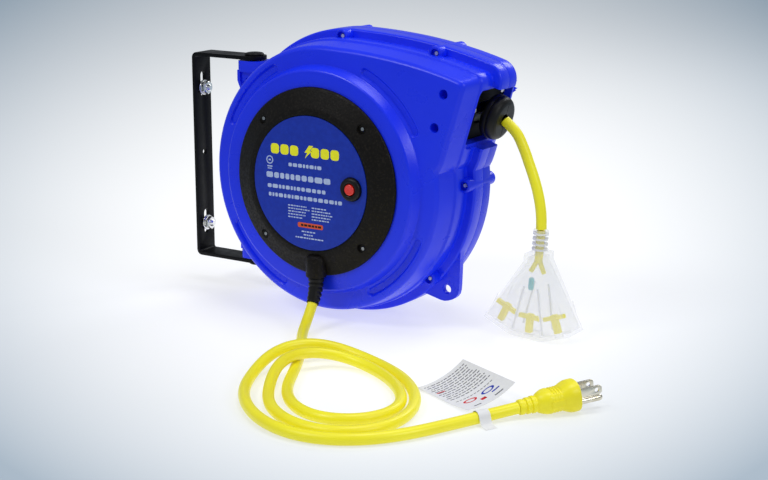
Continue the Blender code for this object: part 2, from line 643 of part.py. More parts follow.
def inside():
    profile = [(AXLE_R - 1 * MM, -59 * MM), (AXLE_R, -58 * MM), (AXLE_R, 52 * MM), (AXLE_R - 1 * MM,
            53 * MM)]
    add_object("axle", turned(profile, segments=32), STEEL, AXIS)
    plate = bmesh.new()
    tube(72 * MM, AXLE_R + GAP, -59.7 * MM, -57.2 * MM, (0, 1, 0), (0, 0, 0), 28, plate)
    carrier = add_object("front_carrier", plate, GREY, AXIS)
    window = box((BEZEL_X - 8.2 * MM, -66 * MM, -15.8 * MM), (BEZEL_X + 8.2 * MM, -50 * MM, 15.8 * MM))
    for angle in (45, 135, 225, 315):
        a = math.radians(angle)
        spot = (COVER_SCREW_R * math.cos(a), 0, COVER_SCREW_R * math.sin(a))
        cylinder(1.7 * MM, -64 * MM, -50 * MM, (0, 1, 0), spot, 16, window)
    boolean(carrier, "DIFFERENCE", window, "window")
    y0, y1 = DRUM_Y
    bore = AXLE_R + GAP
    rim = HUB_R - 3 * MM
    hub = [(bore, y0), (14 * MM, y0), (14 * MM, y0 + 3 * MM), (rim, y0 + 3 * MM), (rim, y0), (HUB_R, y0),
           (HUB_R, y1), (rim, y1), (rim, y0 + 6 * MM), (14 * MM, y0 + 6 * MM), (14 * MM, y1), (bore, y1)]
    add_object("drum_hub", turned(hub, segments=24, closed=True), GREY, AXIS)
    for word, start, way in (("front", y0, 1), ("rear", y1, -1)):
        low, high = sorted((start, start + way * 2.0 * MM))
        flange = tube(DRUM_FLANGE_R, HUB_R + GAP, low, high, (0, 1, 0), (0, 0, 0), SEGMENTS)
        add_object(f"drum_flange_{word}", flange, GREY, AXIS)
    edge = 2.0 * MM + GAP
    coil = [(HUB_R + GAP, y0 + edge), (88 * MM, y0 + edge)]
    rows = 4
    width = (y1 - y0 - 2 * edge) / rows
    for k in range(rows):
        for t in (0.2, 0.8):
            bulge = CORD_R * 0.55 * math.sin(math.pi * t)
            coil.append((88 * MM + bulge, y0 + edge + width * (k + t)))
    coil += [(88 * MM, y1 - edge), (HUB_R + GAP, y1 - edge)]
    add_object("wound_cord", turned(coil, segments=28, closed=True), YELLOW, AXIS)
    teeth = []
    for k in range(RATCHET_TEETH):
        base = 360.0 * (k - 0.5) / RATCHET_TEETH
        step = 360.0 / RATCHET_TEETH
        for share, radius in ((0.0, RATCHET_R), (0.08, RATCHET_R + 5 * MM), (0.5, RATCHET_R + 2.4 * MM)):
            a = math.radians(90 + base + step * share)
            teeth.append((radius * math.cos(a), radius * math.sin(a)))
    ratchet = prism(teeth, y0 - GAP - 4 * MM, y0 - GAP)
    wheel = add_object("ratchet_ring", ratchet, GREY, AXIS, smooth=20.0)
    boolean(wheel, "DIFFERENCE", cylinder(50 * MM, -60 * MM, 0, segments=28), "bore")
    add_object("slip_ring", tube(28 * MM, bore, -44 * MM, y0 - GAP, segments=28), BRASS, AXIS)
    brush = bmesh.new()
    tube(26 * MM, bore, -54 * MM, -44.6 * MM, (0, 1, 0), (0, 0, 0), 28, brush)
    add_object("brush_block", brush, BLACK, AXIS)
    case_y = y1 + GAP
    cassette = [(46 * MM, case_y), (66 * MM, case_y), (66 * MM, 45 * MM), (bore + 3 * MM, 45 * MM),
                (bore + 3 * MM, 43.6 * MM), (64.4 * MM, 43.6 * MM), (64.4 * MM, case_y + 1.4 * MM),
                (46 * MM, case_y + 1.4 * MM)]
    add_object("spring_case", turned(cassette, segments=24, closed=True), STEEL, AXIS)
    turns = 4
    steps = turns * 14
    strip = []
    for k in range(steps + 1):
        a = 2 * math.pi * turns * k / steps
        radius = 12 * MM + (60 - 12) * MM * k / steps
        strip.append((radius * math.cos(a), radius * math.sin(a)))
    back = []
    for x, z in reversed(strip):
        inner = 1 - 0.7 * MM / math.hypot(x, z)
        back.append((inner * x, inner * z))
    spring = prism(strip + back, y1 + 3 * MM, 42 * MM)
    add_object("mainspring", spring, STEEL, AXIS, smooth=60.0)
    px, pz = PAWL_PIVOT
    place = AXIS + Vector((px, 0, pz))
    shape = [*arc((0, 0), 4.4 * MM, -20, 190, 9), (-13.4 * MM, -9.0 * MM), (-12.0 * MM, -13.0 * MM),
             (-9.2 * MM, -12.4 * MM), (-2.0 * MM, -6.0 * MM)]
    pawl = add_object("pawl", prism(shape, y0 - GAP - 4 * MM, y0 - GAP), PALE, place)
    boolean(pawl, "DIFFERENCE", cylinder(2.0 * MM, -60 * MM, 0), "pivot_hole")
    add_object("pawl_pin", cylinder(1.7 * MM, -50.9 * MM, y0 - GAP, segments=16), STEEL, place)


# ---------------------------------------------------------------- outlet

def outlet():
    depth = 3.0 * MM
    tilt = (0, MOUTH_TILT, 0)
    half_w = MOUTH_HALF_W - 0.5 * MM
    half_h = MOUTH_HALF_H - 0.5 * MM
    frame = bmesh.new()
    box((-7.5 * MM, -half_w, -half_h), (-7.5 * MM + depth, half_w, half_h), frame)
    guide = add_object("guide_frame", bevel_all(frame, 0.5 * MM, 1), BLACK, MOUTH_CENTRE, tilt)
    hole = box((-20 * MM, -12 * MM, -9 * MM), (10 * MM, 12 * MM, 9 * MM))
    boolean(guide, "DIFFERENCE", hole, "slot")
    m = Matrix.Rotation(MOUTH_TILT, 4, "Y")
    roller_r = 4.0 * MM
    off = roller_r + CORD_R + 0.7 * MM
    for word, way in (("upper", 1), ("lower", -1)):
        spot = MOUTH_CENTRE + m @ Vector((-12.2 * MM, 0, way * off))
        add_object(f"guide_roller_{word}", cylinder(roller_r, -20 * MM, 20 * MM, segments=24), PALE, spot)
    for word, way in (("front", -1), ("rear", 1)):
        spot = MOUTH_CENTRE + m @ Vector((-20.8 * MM, way * off, 0))
        roller = cylinder(roller_r, -16 * MM, 16 * MM, (0, 0, 1), segments=24)
        add_object(f"guide_roller_{word}", roller, PALE, spot, tilt)
    bore = CORD_R + GAP
    rear = [(bore, 1.4 * MM), (14 * MM, 1.4 * MM), (17 * MM, 2.8 * MM), (18 * MM, 5.6 * MM),
            (18 * MM, 8.2 * MM), (bore, 8.2 * MM)]
    front = [(bore, 8.5 * MM), (17.7 * MM, 8.5 * MM), (17.7 * MM, 10.8 * MM), (17.0 * MM, 13.2 * MM),
             (15.2 * MM, 15.0 * MM), (12.6 * MM, 15.6 * MM), (bore, 15.6 * MM)]
    add_object("ball_stop_inner", turned(rear, (1, 0, 0), segments=24, closed=True), BLACK,
            MOUTH_CENTRE, tilt)
    add_object("ball_stop_outer", turned(front, (1, 0, 0), segments=24, closed=True), BLACK,
            MOUTH_CENTRE, tilt)


# ---------------------------------------------------------------- cords

def cord_tube(name, route, samples, resolution=3):
    """Tube along a smooth line through the route's points."""
    points = smooth_line(route, samples)
    curve = bpy.data.curves.new(name, "CURVE")
    curve.dimensions = "3D"
    curve.bevel_depth = CORD_R
    curve.bevel_resolution = resolution
    curve.use_fill_caps = True
    spline = curve.splines.new("POLY")
    spline.points.add(len(points) - 1)
    for slot, point in zip(spline.points, points):
        slot.co = (*point, 1.0)
    curve.materials.append(YELLOW)
    obj = bpy.data.objects.new(name, curve)
    collection.objects.link(obj)
    return obj


def smooth_line(route, samples, rounds=40):
    """Evenly spaced points of a Catmull-Rom line through the route, its bends then eased."""
    pts = [Vector(p) * MM for p in route]
    pts = [pts[0] * 2 - pts[1]] + pts + [pts[-1] * 2 - pts[-2]]
    dense = []
    for i in range(1, len(pts) - 2):
        p0, p1, p2, p3 = pts[i - 1:i + 3]
        t0 = 0.0
        t1 = t0 + math.sqrt((p1 - p0).length)
        t2 = t1 + math.sqrt((p2 - p1).length)
        t3 = t2 + math.sqrt((p3 - p2).length)
        for k in range(24):
            t = t1 + (t2 - t1) * k / 24
            a1 = p0 * ((t1 - t) / (t1 - t0)) + p1 * ((t - t0) / (t1 - t0))
            a2 = p1 * ((t2 - t) / (t2 - t1)) + p2 * ((t - t1) / (t2 - t1))
            a3 = p2 * ((t3 - t) / (t3 - t2)) + p3 * ((t - t2) / (t3 - t2))
            b1 = a1 * ((t2 - t) / (t2 - t0)) + a2 * ((t - t0) / (t2 - t0))
            b2 = a2 * ((t3 - t) / (t3 - t1)) + a3 * ((t - t1) / (t3 - t1))
            dense.append(b1 * ((t2 - t) / (t2 - t1)) + b2 * ((t - t1) / (t2 - t1)))
    dense.append(pts[-2])
    line = even(np.array([tuple(p) for p in dense]), 600)
    for _ in range(rounds):
        line[2:-2] += 0.5 * ((line[1:-3] + line[3:-1]) / 2 - line[2:-2])
    return even(line, samples)


def even(line, samples):
    """The same line with evenly spaced points."""
    steps = np.linalg.norm(np.diff(line, axis=0), axis=1)
    travel = np.concatenate([[0.0], np.cumsum(steps)])
    marks = np.linspace(0.0, travel[-1], samples)
    return np.stack([np.interp(marks, travel, line[:, k]) for k in range(3)], axis=1)


LIE = -91.0                                     # height of the centre of a cord on the floor, mm
LEAD_START = (RELIEF_X / MM + 167.0, RELIEF_Y / MM, -54.2)
LEAD_LEAN = math.radians(38.0)
LEAD_TURN = math.radians(-82.0)                 # compass direction the relief leans towards
RELIEF_L = 22.0
LANDING_STEPS = 36                              # length in mm of the stretch that lands on the floor
RELIEF_BEND = RELIEF_L / LEAD_LEAN
PLUG_START = Vector((408.5, -170.0, -88.5)) * MM
PLUG_WAY = Vector((25.5, 33.0, 4.5)).normalized()

LEAD_ROUTE = [
    (188.5, -114.6, LIE), (199.9, -131.3, LIE), (210.8, -148.3, LIE), (221.1, -165.6, LIE),
    (230.8, -183.4, LIE), (239.9, -201.4, LIE), (250.3, -218.7, LIE), (263.2, -234.1, LIE),
    (279.2, -246.3, LIE), (298.2, -252.7, LIE), (317.8, -249, LIE), (332.4, -235.4, LIE),
    (337.5, -216.2, LIE), (332.1, -196.9, LIE), (320.6, -180.3, LIE), (306.2, -166.3, LIE),
    (289.8, -154.5, LIE), (271.6, -145.9, -90.5), (251.9, -144.2, -87.6), (234.5, -153, -83.8),
    (224.1, -169.9, -82.1), (223.6, -189.8, -83.4), (230.4, -208.5, -86.8), (239.8, -226, -90.1),
    (251.6, -242.4, LIE), (265.9, -256.5, LIE), (283, -267.2, LIE), (302.2, -273.1, LIE),
    (322.2, -272.1, LIE), (339.3, -261.9, LIE), (348.9, -244.4, LIE), (350.6, -224.4, LIE),
    (346.1, -204.7, LIE), (337.2, -186.7, LIE), (325, -170.6, LIE), (310.3, -156.8, LIE),
    (293.8, -145.2, LIE), (275.6, -136.6, -90.8), (256.1, -132.2, -89.0), (236.4, -133.8, -85.2),
    (218.9, -142.9, -82.0), (207.4, -159.2, -82.1), (204.6, -178.8, -85.0), (207.8, -198.3, -89.0),
    (214.7, -217.1, -90.9), (224.6, -234.7, LIE), (237.1, -250.5, LIE), (251.8, -264.3, LIE),
    (268.4, -275.7, LIE), (286.8, -283.9, LIE), (306.6, -287.4, LIE), (326.5, -284.5, LIE),
    (344.3, -275.2, LIE), (358.8, -261.2, LIE), (369.8, -244.3, LIE), (378.6, -226.2, LIE),
    (386.7, -207.7, LIE), (395.8, -189.7, -90.4),
]
OUTLET_ROUTE = [
    (305.5, 0, 73.2), (313.0, 0, 65.4), (319.0, 0, 55.0), (324.0, 0, 43.5), (328.5, 0, 32.5), (332.2, 0,
            21.5),
    (334.8, 0, 10.0), (335.8, 0, 1.0),
]
TAP_TOP = Vector((336.0 * MM, 0.0, -8.0 * MM))
TAP_LEAN = math.radians(4.0)


def relief_point(travel):
    """Point and direction along the strain relief's bent axis, travel in mm from its top."""
    angle = travel / RELIEF_BEND
    side = RELIEF_BEND * (1 - math.cos(angle))
    drop = RELIEF_BEND * math.sin(angle)
    way = Vector((math.cos(LEAD_TURN), math.sin(LEAD_TURN), 0))
    point = Vector(LEAD_START) + way * side + Vector((0, 0, -drop))
    direction = way * math.sin(angle) + Vector((0, 0, -math.cos(angle)))
    return point, direction


def strain_relief():
    bore = CORD_R / MM + 0.3
    profile = [(bore, 0.2), (6.3, 0.2)]
    for k in range(5):
        start = 1.2 + 3.9 * k
        radius = 6.3 - 0.22 * k
        profile += [(radius, start), (radius, start + 2.2), (radius - 0.9, start + 2.6), (radius - 0.9,
                start + 3.5)]
    profile += [(5.1, RELIEF_L), (bore, RELIEF_L)]
    rings = []
    for radius, travel in profile:
        point, direction = relief_point(travel)
        frame = basis(direction)
        ring = []
        for k in range(12):
            a = 2 * math.pi * k / 12
            ring.append((point + frame @ Vector((radius * math.cos(a), radius * math.sin(a), 0))) * MM)
        rings.append(ring)
    add_object("strain_relief", ring_mesh(bmesh.new(), rings, True), BLACK)


def landing(start):
    """Points from the strain relief down to the floor, pitch and compass direction easing."""
    points = []
    place = Vector(start)
    pitch = math.radians(90) - LEAD_LEAN
    for k in range(1, LANDING_STEPS + 1):
        share = max(0.0, (k - 0.5 - 3.0) / (LANDING_STEPS - 3.0))
        down = pitch * (1 - share)
        turn = LEAD_TURN + math.radians(22.0) * share
        way = Vector((math.cos(turn) * math.cos(down), math.sin(turn) * math.cos(down), -math.sin(down)))
        place = place + way
        if k % 8 == 3:
            points.append((place.x, place.y, max(place.z, LIE)))
    return points


def cords():
    start, direction = relief_point(RELIEF_L + 0.3)
    lead = [tuple(start)] + landing(start) + LEAD_ROUTE
    end = PLUG_START - PLUG_WAY * (0.3 * MM)
    lead += [tuple((end - PLUG_WAY * (6.0 * MM)) / MM), tuple(end / MM)]
    cord_tube("lead_cord", lead, 76, 2)
    out = Vector((math.cos(MOUTH_TILT), 0, -math.sin(MOUTH_TILT)))
    first = (MOUTH_CENTRE + out * (15.9 * MM)) / MM
    top = (TAP_TOP + Vector((0, 0, 0.8 * MM))) / MM
    cord_tube("outlet_cord", [tuple(first)] + OUTLET_ROUTE[1:] + [tuple(top)], 18, 3)


def plug():
    rotation = PLUG_WAY.to_track_quat("Z", "Y").to_euler()
    bore = CORD_R + GAP
    profile = [(0.0001, 0), (5.4 * MM, 0)]
    for k in range(3):
        start = 1.4 * MM + k * 4.0 * MM
        radius = 5.4 * MM + k * 0.35 * MM
        profile += [(radius, start), (radius, start + 2.2 * MM), (radius - 0.8 * MM, start + 2.6 * MM),
                    (radius - 0.8 * MM, start + 3.6 * MM)]
    profile += [(8.2 * MM, 16 * MM), (9.4 * MM, 21 * MM), (9.2 * MM, 30 * MM), (10.6 * MM, 34 * MM),
                (11.0 * MM, 38 * MM), (11.0 * MM, 42.4 * MM), (10.4 * MM, 43 * MM), (0.0001, 43 * MM)]
    body = turned(profile, (0, 0, 1), segments=16, bm=bmesh.new())
    add_object("plug_body", body, YELLOW, PLUG_START, rotation)
    frame = Matrix.Translation(PLUG_START) @ PLUG_WAY.to_track_quat("Z", "Y").to_matrix().to_4x4()
    start = 43.3 * MM
    for name, x in (("plug_blade_live", -6.35 * MM), ("plug_blade_neutral", 6.35 * MM)):
        blade = box((-0.75 * MM, -3.15 * MM, 0), (0.75 * MM, 3.15 * MM, 16.5 * MM))
        obj = add_object(name, bevel_all(blade, 0.4 * MM, 1), BRASS, frame @ Vector((x, 2.5 * MM,
                start)), rotation)
        obj.parent = None
    pin = turned([(2.4 * MM, 0), (2.4 * MM, 18.0 * MM), (1.2 * MM, 19.6 * MM)], (0, 0, 1), segments=20)
    add_object("plug_ground_pin", pin, BRASS, frame @ Vector((0, -6.0 * MM, start)), rotation)


# ---------------------------------------------------------------- three-way tap

TAP_ANGLES = (-22, 0, 22)
TAP_APEX = -14.0


def fan(reach, face, neck, top, shoulder):
    """Outline of the fan: a narrow neck, straight sides and one flat per socket."""
    points = [(-neck, top), (-neck, shoulder)]
    for angle in TAP_ANGLES:
        a = math.radians(angle)
        x, z = reach * math.sin(a), TAP_APEX - reach * math.cos(a)
        along = (math.cos(a), math.sin(a))
        points.append((x - along[0] * face, z - along[1] * face))
        points.append((x + along[0] * face, z + along[1] * face))
    points += [(neck, shoulder), (neck, top)]
    return [(x * MM, z * MM) for x, z in points]


def tap_frame(angle, reach):
    a = math.radians(angle)
    spot = Vector((reach * math.sin(a), 0, TAP_APEX - reach * math.cos(a))) * MM
    return Matrix.Translation(spot) @ Matrix.Rotation(-a, 4, "Y")


def sockets_cut(reach, depth):
    """Two blade slots and a ground hole at each of the fan's flats."""
    bm = bmesh.new()
    for angle in TAP_ANGLES:
        m = tap_frame(angle, reach)
        for y in (-6.35, 6.35):
            low = (-3.6 * MM, (y - 1.1) * MM, -2 * MM)
            high = (3.6 * MM, (y + 1.1) * MM, depth * MM)
            box(low, high, bm, m)
    return bm


def tap():
    tilt = (0, TAP_LEAN, 0)
    body = bevel_all(prism(fan(72, 12.2, 7.0, -18, -24), -12 * MM, 12 * MM), 1.6 * MM, 1, 50)
    shell = add_object("tap_body", body, CLEAR, TAP_TOP, tilt)
    neck = [(6.0 * MM, 0)]
    for k in range(4):
        z = -1.6 - 4.2 * k
        neck += [(6.3 * MM, z * MM), (6.3 * MM, (z - 2.2) * MM), (5.4 * MM, (z - 2.7) * MM),
                 (5.4 * MM, (z - 3.7) * MM)]
    neck += [(7.6 * MM, -19 * MM), (8.2 * MM, -24 * MM)]
    boolean(shell, "UNION", turned(neck, (0, 0, 1), segments=20), "neck")
    boolean(shell, "DIFFERENCE", prism(fan(69.2, 11.2, 4.6, -21, -24.5), -9.4 * MM, 9.4 * MM), "cavity")
    boolean(shell, "DIFFERENCE", cylinder(3.6 * MM, 2 * MM, -27 * MM, (0, 0, 1)), "neck_bore")
    boolean(shell, "DIFFERENCE", sockets_cut(72, 6), "slots")
    stem = cylinder(3.2 * MM, -0.6 * MM, -26 * MM, (0, 0, 1), segments=20)
    core = add_object("tap_core", stem, YELLOW, TAP_TOP, tilt)
    for k, angle in enumerate(TAP_ANGLES, 1):
        m = tap_frame(angle, 52.6)
        arm = bmesh.new()
        top = Vector((0, 0, -23 * MM))
        end = m @ Vector((0, 0, 0))
        cylinder(2.3 * MM, 0, (end - top).length, tuple(end - top), tuple(top), 16, arm)
        boolean(core, "UNION", arm, f"arm_{k}")
        block = box((-7.4 * MM, -8.6 * MM, -15.6 * MM), (7.4 * MM, 8.6 * MM, -0.8 * MM), None, m)
        colour = PALE if k == 2 else YELLOW
        piece = add_object(f"tap_socket_{k}", bevel_all(block, 1.2 * MM, 1), colour, TAP_TOP, tilt)
        cut = bmesh.new()
        for y in (-6.35, 6.35):
            box((-3.6 * MM, (y - 1.1) * MM, -18 * MM), (3.6 * MM, (y + 1.1) * MM, -4 * MM), cut, m)
        boolean(piece, "DIFFERENCE", cut, "slots")
    lamp_spot = TAP_TOP + Matrix.Rotation(TAP_LEAN, 4, "Y") @ Vector((-1.5 * MM, -6.2 * MM, -43 * MM))
    profile = [(1.4 * MM, -5 * MM), (2.2 * MM, -4 * MM), (2.2 * MM, 4 * MM), (1.4 * MM, 5 * MM)]
    add_object("tap_lamp", turned(profile, (0, 0, 1), segments=16), LAMP, lamp_spot, tilt)


def tag():
    card = box((-31 * MM, -22 * MM, -0.3 * MM), (31 * MM, 22 * MM, 0.3 * MM))
    add_object("tag", card, PAPER, (357 * MM, -150 * MM, -94.7 * MM), (0, 0, math.radians(-24)))


bracket()
wall_fasteners()
pivots()
front_shell()
rear_shell()
case_screws()
cover()
reset()
strain_relief()
inside()
outlet()
cords()
plug()
tap()
tag()
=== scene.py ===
"""Looks for the wall-mounted extension cord reel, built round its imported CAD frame."""
import math

import bmesh
import bpy
import numpy as np
from mathutils import Matrix, Vector


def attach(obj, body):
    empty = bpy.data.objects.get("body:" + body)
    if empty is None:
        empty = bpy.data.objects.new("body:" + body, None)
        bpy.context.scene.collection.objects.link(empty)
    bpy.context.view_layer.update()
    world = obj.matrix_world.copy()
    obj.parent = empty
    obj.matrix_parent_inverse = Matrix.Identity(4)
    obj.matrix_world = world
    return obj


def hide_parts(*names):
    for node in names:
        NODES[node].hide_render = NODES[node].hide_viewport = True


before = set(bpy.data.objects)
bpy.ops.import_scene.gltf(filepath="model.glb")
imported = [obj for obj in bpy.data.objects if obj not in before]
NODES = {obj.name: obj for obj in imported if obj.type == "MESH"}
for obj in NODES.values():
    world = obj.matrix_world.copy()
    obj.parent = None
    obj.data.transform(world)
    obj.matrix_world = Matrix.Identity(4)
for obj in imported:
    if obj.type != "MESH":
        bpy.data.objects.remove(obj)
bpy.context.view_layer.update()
MM = 0.001

AXIS = Vector((167.0, 0.0, 22.0)) * MM          # centre of the drum
FLOOR_Z = -95.5 * MM
GAP = 0.3 * MM
PART_GAP = 0.15 * MM
CORD_R = 4.25 * MM
MOUTH_CENTRE = Vector((287.2, 0.0, 79.0)) * MM
MOUTH_TILT = math.radians(15.6)
BLADE_HALF = 6.35                               # half the spacing of plug blades and socket slots, mm


def mm(*values):
    """A point given in millimetres."""
    return tuple(v * MM for v in values)


# ---------------------------------------------------------------- mesh tools

def make(name, bm, mat, body, stands=(), smooth=35.0, at=None):
    """Object from a bmesh; at is an optional matrix applied to it."""
    if at is not None:
        bm.transform(at)
    bmesh.ops.remove_doubles(bm, verts=bm.verts, dist=0.000004)
    bmesh.ops.recalc_face_normals(bm, faces=bm.faces)
    mesh = bpy.data.meshes.new(name)
    bm.to_mesh(mesh)
    bm.free()
    obj = bpy.data.objects.new(name, mesh)
    bpy.context.scene.collection.objects.link(obj)
    if mat is not None:
        mesh.materials.append(mat)
    if body is not None:
        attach(obj, body)
        if stands:
            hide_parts(*stands)
    soften_shading(obj, smooth)
    return obj


def soften_shading(obj, angle=35.0):
    for poly in obj.data.polygons:
        poly.use_smooth = True
    obj.data.set_sharp_from_angle(angle=math.radians(angle))


def settle(obj):
    """Turn the object's modifiers into its mesh."""
    graph = bpy.context.evaluated_depsgraph_get()
    mesh = bpy.data.meshes.new_from_object(obj.evaluated_get(graph))
    obj.modifiers.clear()
    obj.data = mesh


def combine(obj, operation, bm, smooth=35.0):
    tool = make("tool", bm, None, None)
    mod = obj.modifiers.new("cut", "BOOLEAN")
    mod.operation = operation
    mod.solver = "EXACT"
    mod.object = tool
    settle(obj)
    bpy.data.objects.remove(tool, do_unlink=True)
    soften_shading(obj, smooth)


def round_edges(obj, width, segments=2, angle=35.0, smooth=35.0):
    mod = obj.modifiers.new("edges", "BEVEL")
    mod.width = width
    mod.segments = segments
    mod.limit_method = "ANGLE"
    mod.angle_limit = math.radians(angle)
    settle(obj)
    soften_shading(obj, smooth)


def ring_mesh(bm, rings, closed=False):
    rows = [[bm.verts.new(p) for p in ring] for ring in rings]
    pairs = list(zip(rows, rows[1:]))
    if closed:
        pairs.append((rows[-1], rows[0]))
    count = len(rows[0])
    for a, b in pairs:
        for i in range(count):
            j = (i + 1) % count
            bm.faces.new((a[i], a[j], b[j], b[i]))
    if not closed:
        bm.faces.new(rows[0])
        bm.faces.new(tuple(reversed(rows[-1])))
    return bm


def basis(axis):
    return Vector((0, 0, 1)).rotation_difference(Vector(axis)).to_matrix().to_4x4()


def fillet(profile, width, closed):
    """Round a profile's corners, each by up to width."""
    pts = [Vector(p) for p in profile]
    count = len(pts)
    out = []
    for i, p in enumerate(pts):
        if not closed and i in (0, count - 1):
            out.append(p)
            continue
        before = pts[i - 1] - p
        after = pts[(i + 1) % count] - p
        a = p + before * min(width / max(before.length, 1e-9), 0.42)
        b = p + after * min(width / max(after.length, 1e-9), 0.42)
        out += [a, (a + p * 2 + b) / 4, b]
    return out


def turned(profile, axis=(0, 1, 0), centre=(0, 0, 0), segments=96, bm=None, closed=False, edge=0.0):
    """profile is (radius, height along axis) points; closed makes a ring with a bore."""
    bm = bm or bmesh.new()
    if edge:
        profile = fillet(profile, edge, closed)
    place = Matrix.Translation(centre) @ basis(axis)
    rings = []
    for radius, height in profile:
        rings.append([place @ Vector((radius * math.cos(2 * math.pi * k / segments),
                                      radius * math.sin(2 * math.pi * k / segments), height))
                      for k in range(segments)])
    return ring_mesh(bm, rings, closed)


def cylinder(radius, start, end, axis=(0, 1, 0), centre=(0, 0, 0), segments=48, bm=None):
    return turned([(radius, start), (radius, end)], axis, centre, segments, bm)


def box(low, high, bm=None, matrix=None):
    bm = bm or bmesh.new()
    matrix = matrix or Matrix.Identity(4)
    (x0, y0, z0), (x1, y1, z1) = low, high
    rings = [[matrix @ Vector((x, y, z)) for x, y in ((x0, y0), (x1, y0), (x1, y1), (x0, y1))] for z in (z0, z1)]
    return ring_mesh(bm, rings)


def bevel(bm, width, segments=3, angle=30.0):
    edges = [e for e in bm.edges if e.is_manifold and e.calc_face_angle(0) > math.radians(angle)]
    bmesh.ops.bevel(bm, geom=edges, offset=width, segments=segments, affect="EDGES", profile=0.6)
    return bm


def joined(bm, other):
    """Add another bmesh to this one."""
    temp = bpy.data.meshes.new("temp")
    other.to_mesh(temp)
    other.free()
    bm.from_mesh(temp)
    bpy.data.meshes.remove(temp)
    return bm


def prism(outline, start, end, matrix=None, bm=None):
    """outline is (u, v) points; the prism runs from start to end along local Y."""
    bm = bm or bmesh.new()
    matrix = matrix or Matrix.Identity(4)
    return ring_mesh(bm, [[matrix @ Vector((u, h, v)) for u, v in outline] for h in (start, end)])


def arc(centre, radius, start, end, steps):
    return [(centre[0] + radius * math.cos(math.radians(start + (end - start) * k / steps)),
             centre[1] + radius * math.sin(math.radians(start + (end - start) * k / steps)))
            for k in range(steps + 1)]


# ---------------------------------------------------------------- materials

class Finish:
    """Node material made in steps: colour variation, roughness variation and bump."""

    def __init__(self, name, colour, roughness, **sockets):
        self.mat = bpy.data.materials.new(name)
        self.mat.use_nodes = True
        self.tree = self.mat.node_tree
        self.shader = self.tree.nodes["Principled BSDF"]
        self.colour = (*colour, 1.0)
        self.shader.inputs["Base Color"].default_value = self.colour
        self.shader.inputs["Roughness"].default_value = roughness
        for key, value in sockets.items():
            self.shader.inputs[key.replace("_", " ")].default_value = value
        self.coords = self.tree.nodes.new("ShaderNodeTexCoord")
        self.base = None
        self.normal = None

    def node(self, kind, **values):
        made = self.tree.nodes.new("ShaderNode" + kind)
        for key, value in values.items():
            if hasattr(made, key):
                setattr(made, key, value)
            else:
                made.inputs[key.replace("_", " ")].default_value = value
        return made

    def link(self, a, b):
        self.tree.links.new(a, b)

    def noise(self, scale, detail=3.0, stretch=(1, 1, 1), roughness=0.5):
        mapping = self.node("Mapping")
        mapping.inputs["Scale"].default_value = stretch
        self.link(self.coords.outputs["Object"], mapping.inputs["Vector"])
        tex = self.node("TexNoise", Scale=scale, Detail=detail, Roughness=roughness)
        self.link(mapping.outputs[0], tex.inputs["Vector"])
        return tex.outputs["Fac"]

    def ramp(self, source, low, high, a=0.0, b=1.0):
        made = self.node("MapRange", clamp=True)
        for key, value in (("From Min", low), ("From Max", high), ("To Min", a), ("To Max", b)):
            made.inputs[key].default_value = value
        self.link(source, made.inputs["Value"])
        return made.outputs["Result"]

    def tint(self, mask, colour):
        """Blend towards another colour where the mask is high."""
        mix = self.node("Mix", data_type="RGBA")
        self.link(mask, mix.inputs["Factor"])
        if self.base is None:
            mix.inputs[6].default_value = self.colour
        else:
            self.link(self.base, mix.inputs[6])
        mix.inputs[7].default_value = (*colour, 1.0)
        self.base = mix.outputs[2]
        self.link(self.base, self.shader.inputs["Base Color"])
        return self

    def gloss(self, source, low, high, a, b):
        self.link(self.ramp(source, low, high, a, b), self.shader.inputs["Roughness"])
        return self

    def bump(self, source, distance, strength=1.0):
        made = self.node("Bump")
        made.inputs["Distance"].default_value = distance
        made.inputs["Strength"].default_value = strength
        self.link(source, made.inputs["Height"])
        if self.normal is not None:
            self.link(self.normal, made.inputs["Normal"])
        self.normal = made.outputs["Normal"]
        self.link(self.normal, self.shader.inputs["Normal"])
        return self


def plastic(name, colour, dark, light, roughness, grain, depth, **sockets):
    """Moulded plastic: slow tone drift, fine grain, scuffs a little lighter."""
    f = Finish(name, colour, roughness, **sockets)
    drift = f.noise(14, 4)
    f.tint(f.ramp(drift, 0.42, 0.72, 0.0, 0.55), dark)
    scuff = f.noise(55, 8, (1, 1, 3.5), 0.7)
    f.tint(f.ramp(scuff, 0.66, 0.80, 0.0, 0.30), light)
    f.gloss(f.noise(38, 6), 0.3, 0.7, roughness * 0.86, roughness * 1.16)
    f.bump(f.noise(grain, 3), depth, 0.7)
    f.bump(f.noise(45, 2), depth * 4, 0.25)
    return f.mat


def metal(name, colour, dark, roughness, stretch=(1, 1, 1), grain=900):
    f = Finish(name, colour, roughness, Metallic=1.0)
    f.tint(f.ramp(f.noise(120, 5), 0.45, 0.75, 0.0, 0.7), dark)
    f.gloss(f.noise(grain, 3, stretch), 0.3, 0.7, roughness * 0.75, roughness * 1.35)
    f.bump(f.noise(grain, 2, stretch), 0.00002, 0.5)
    return f.mat


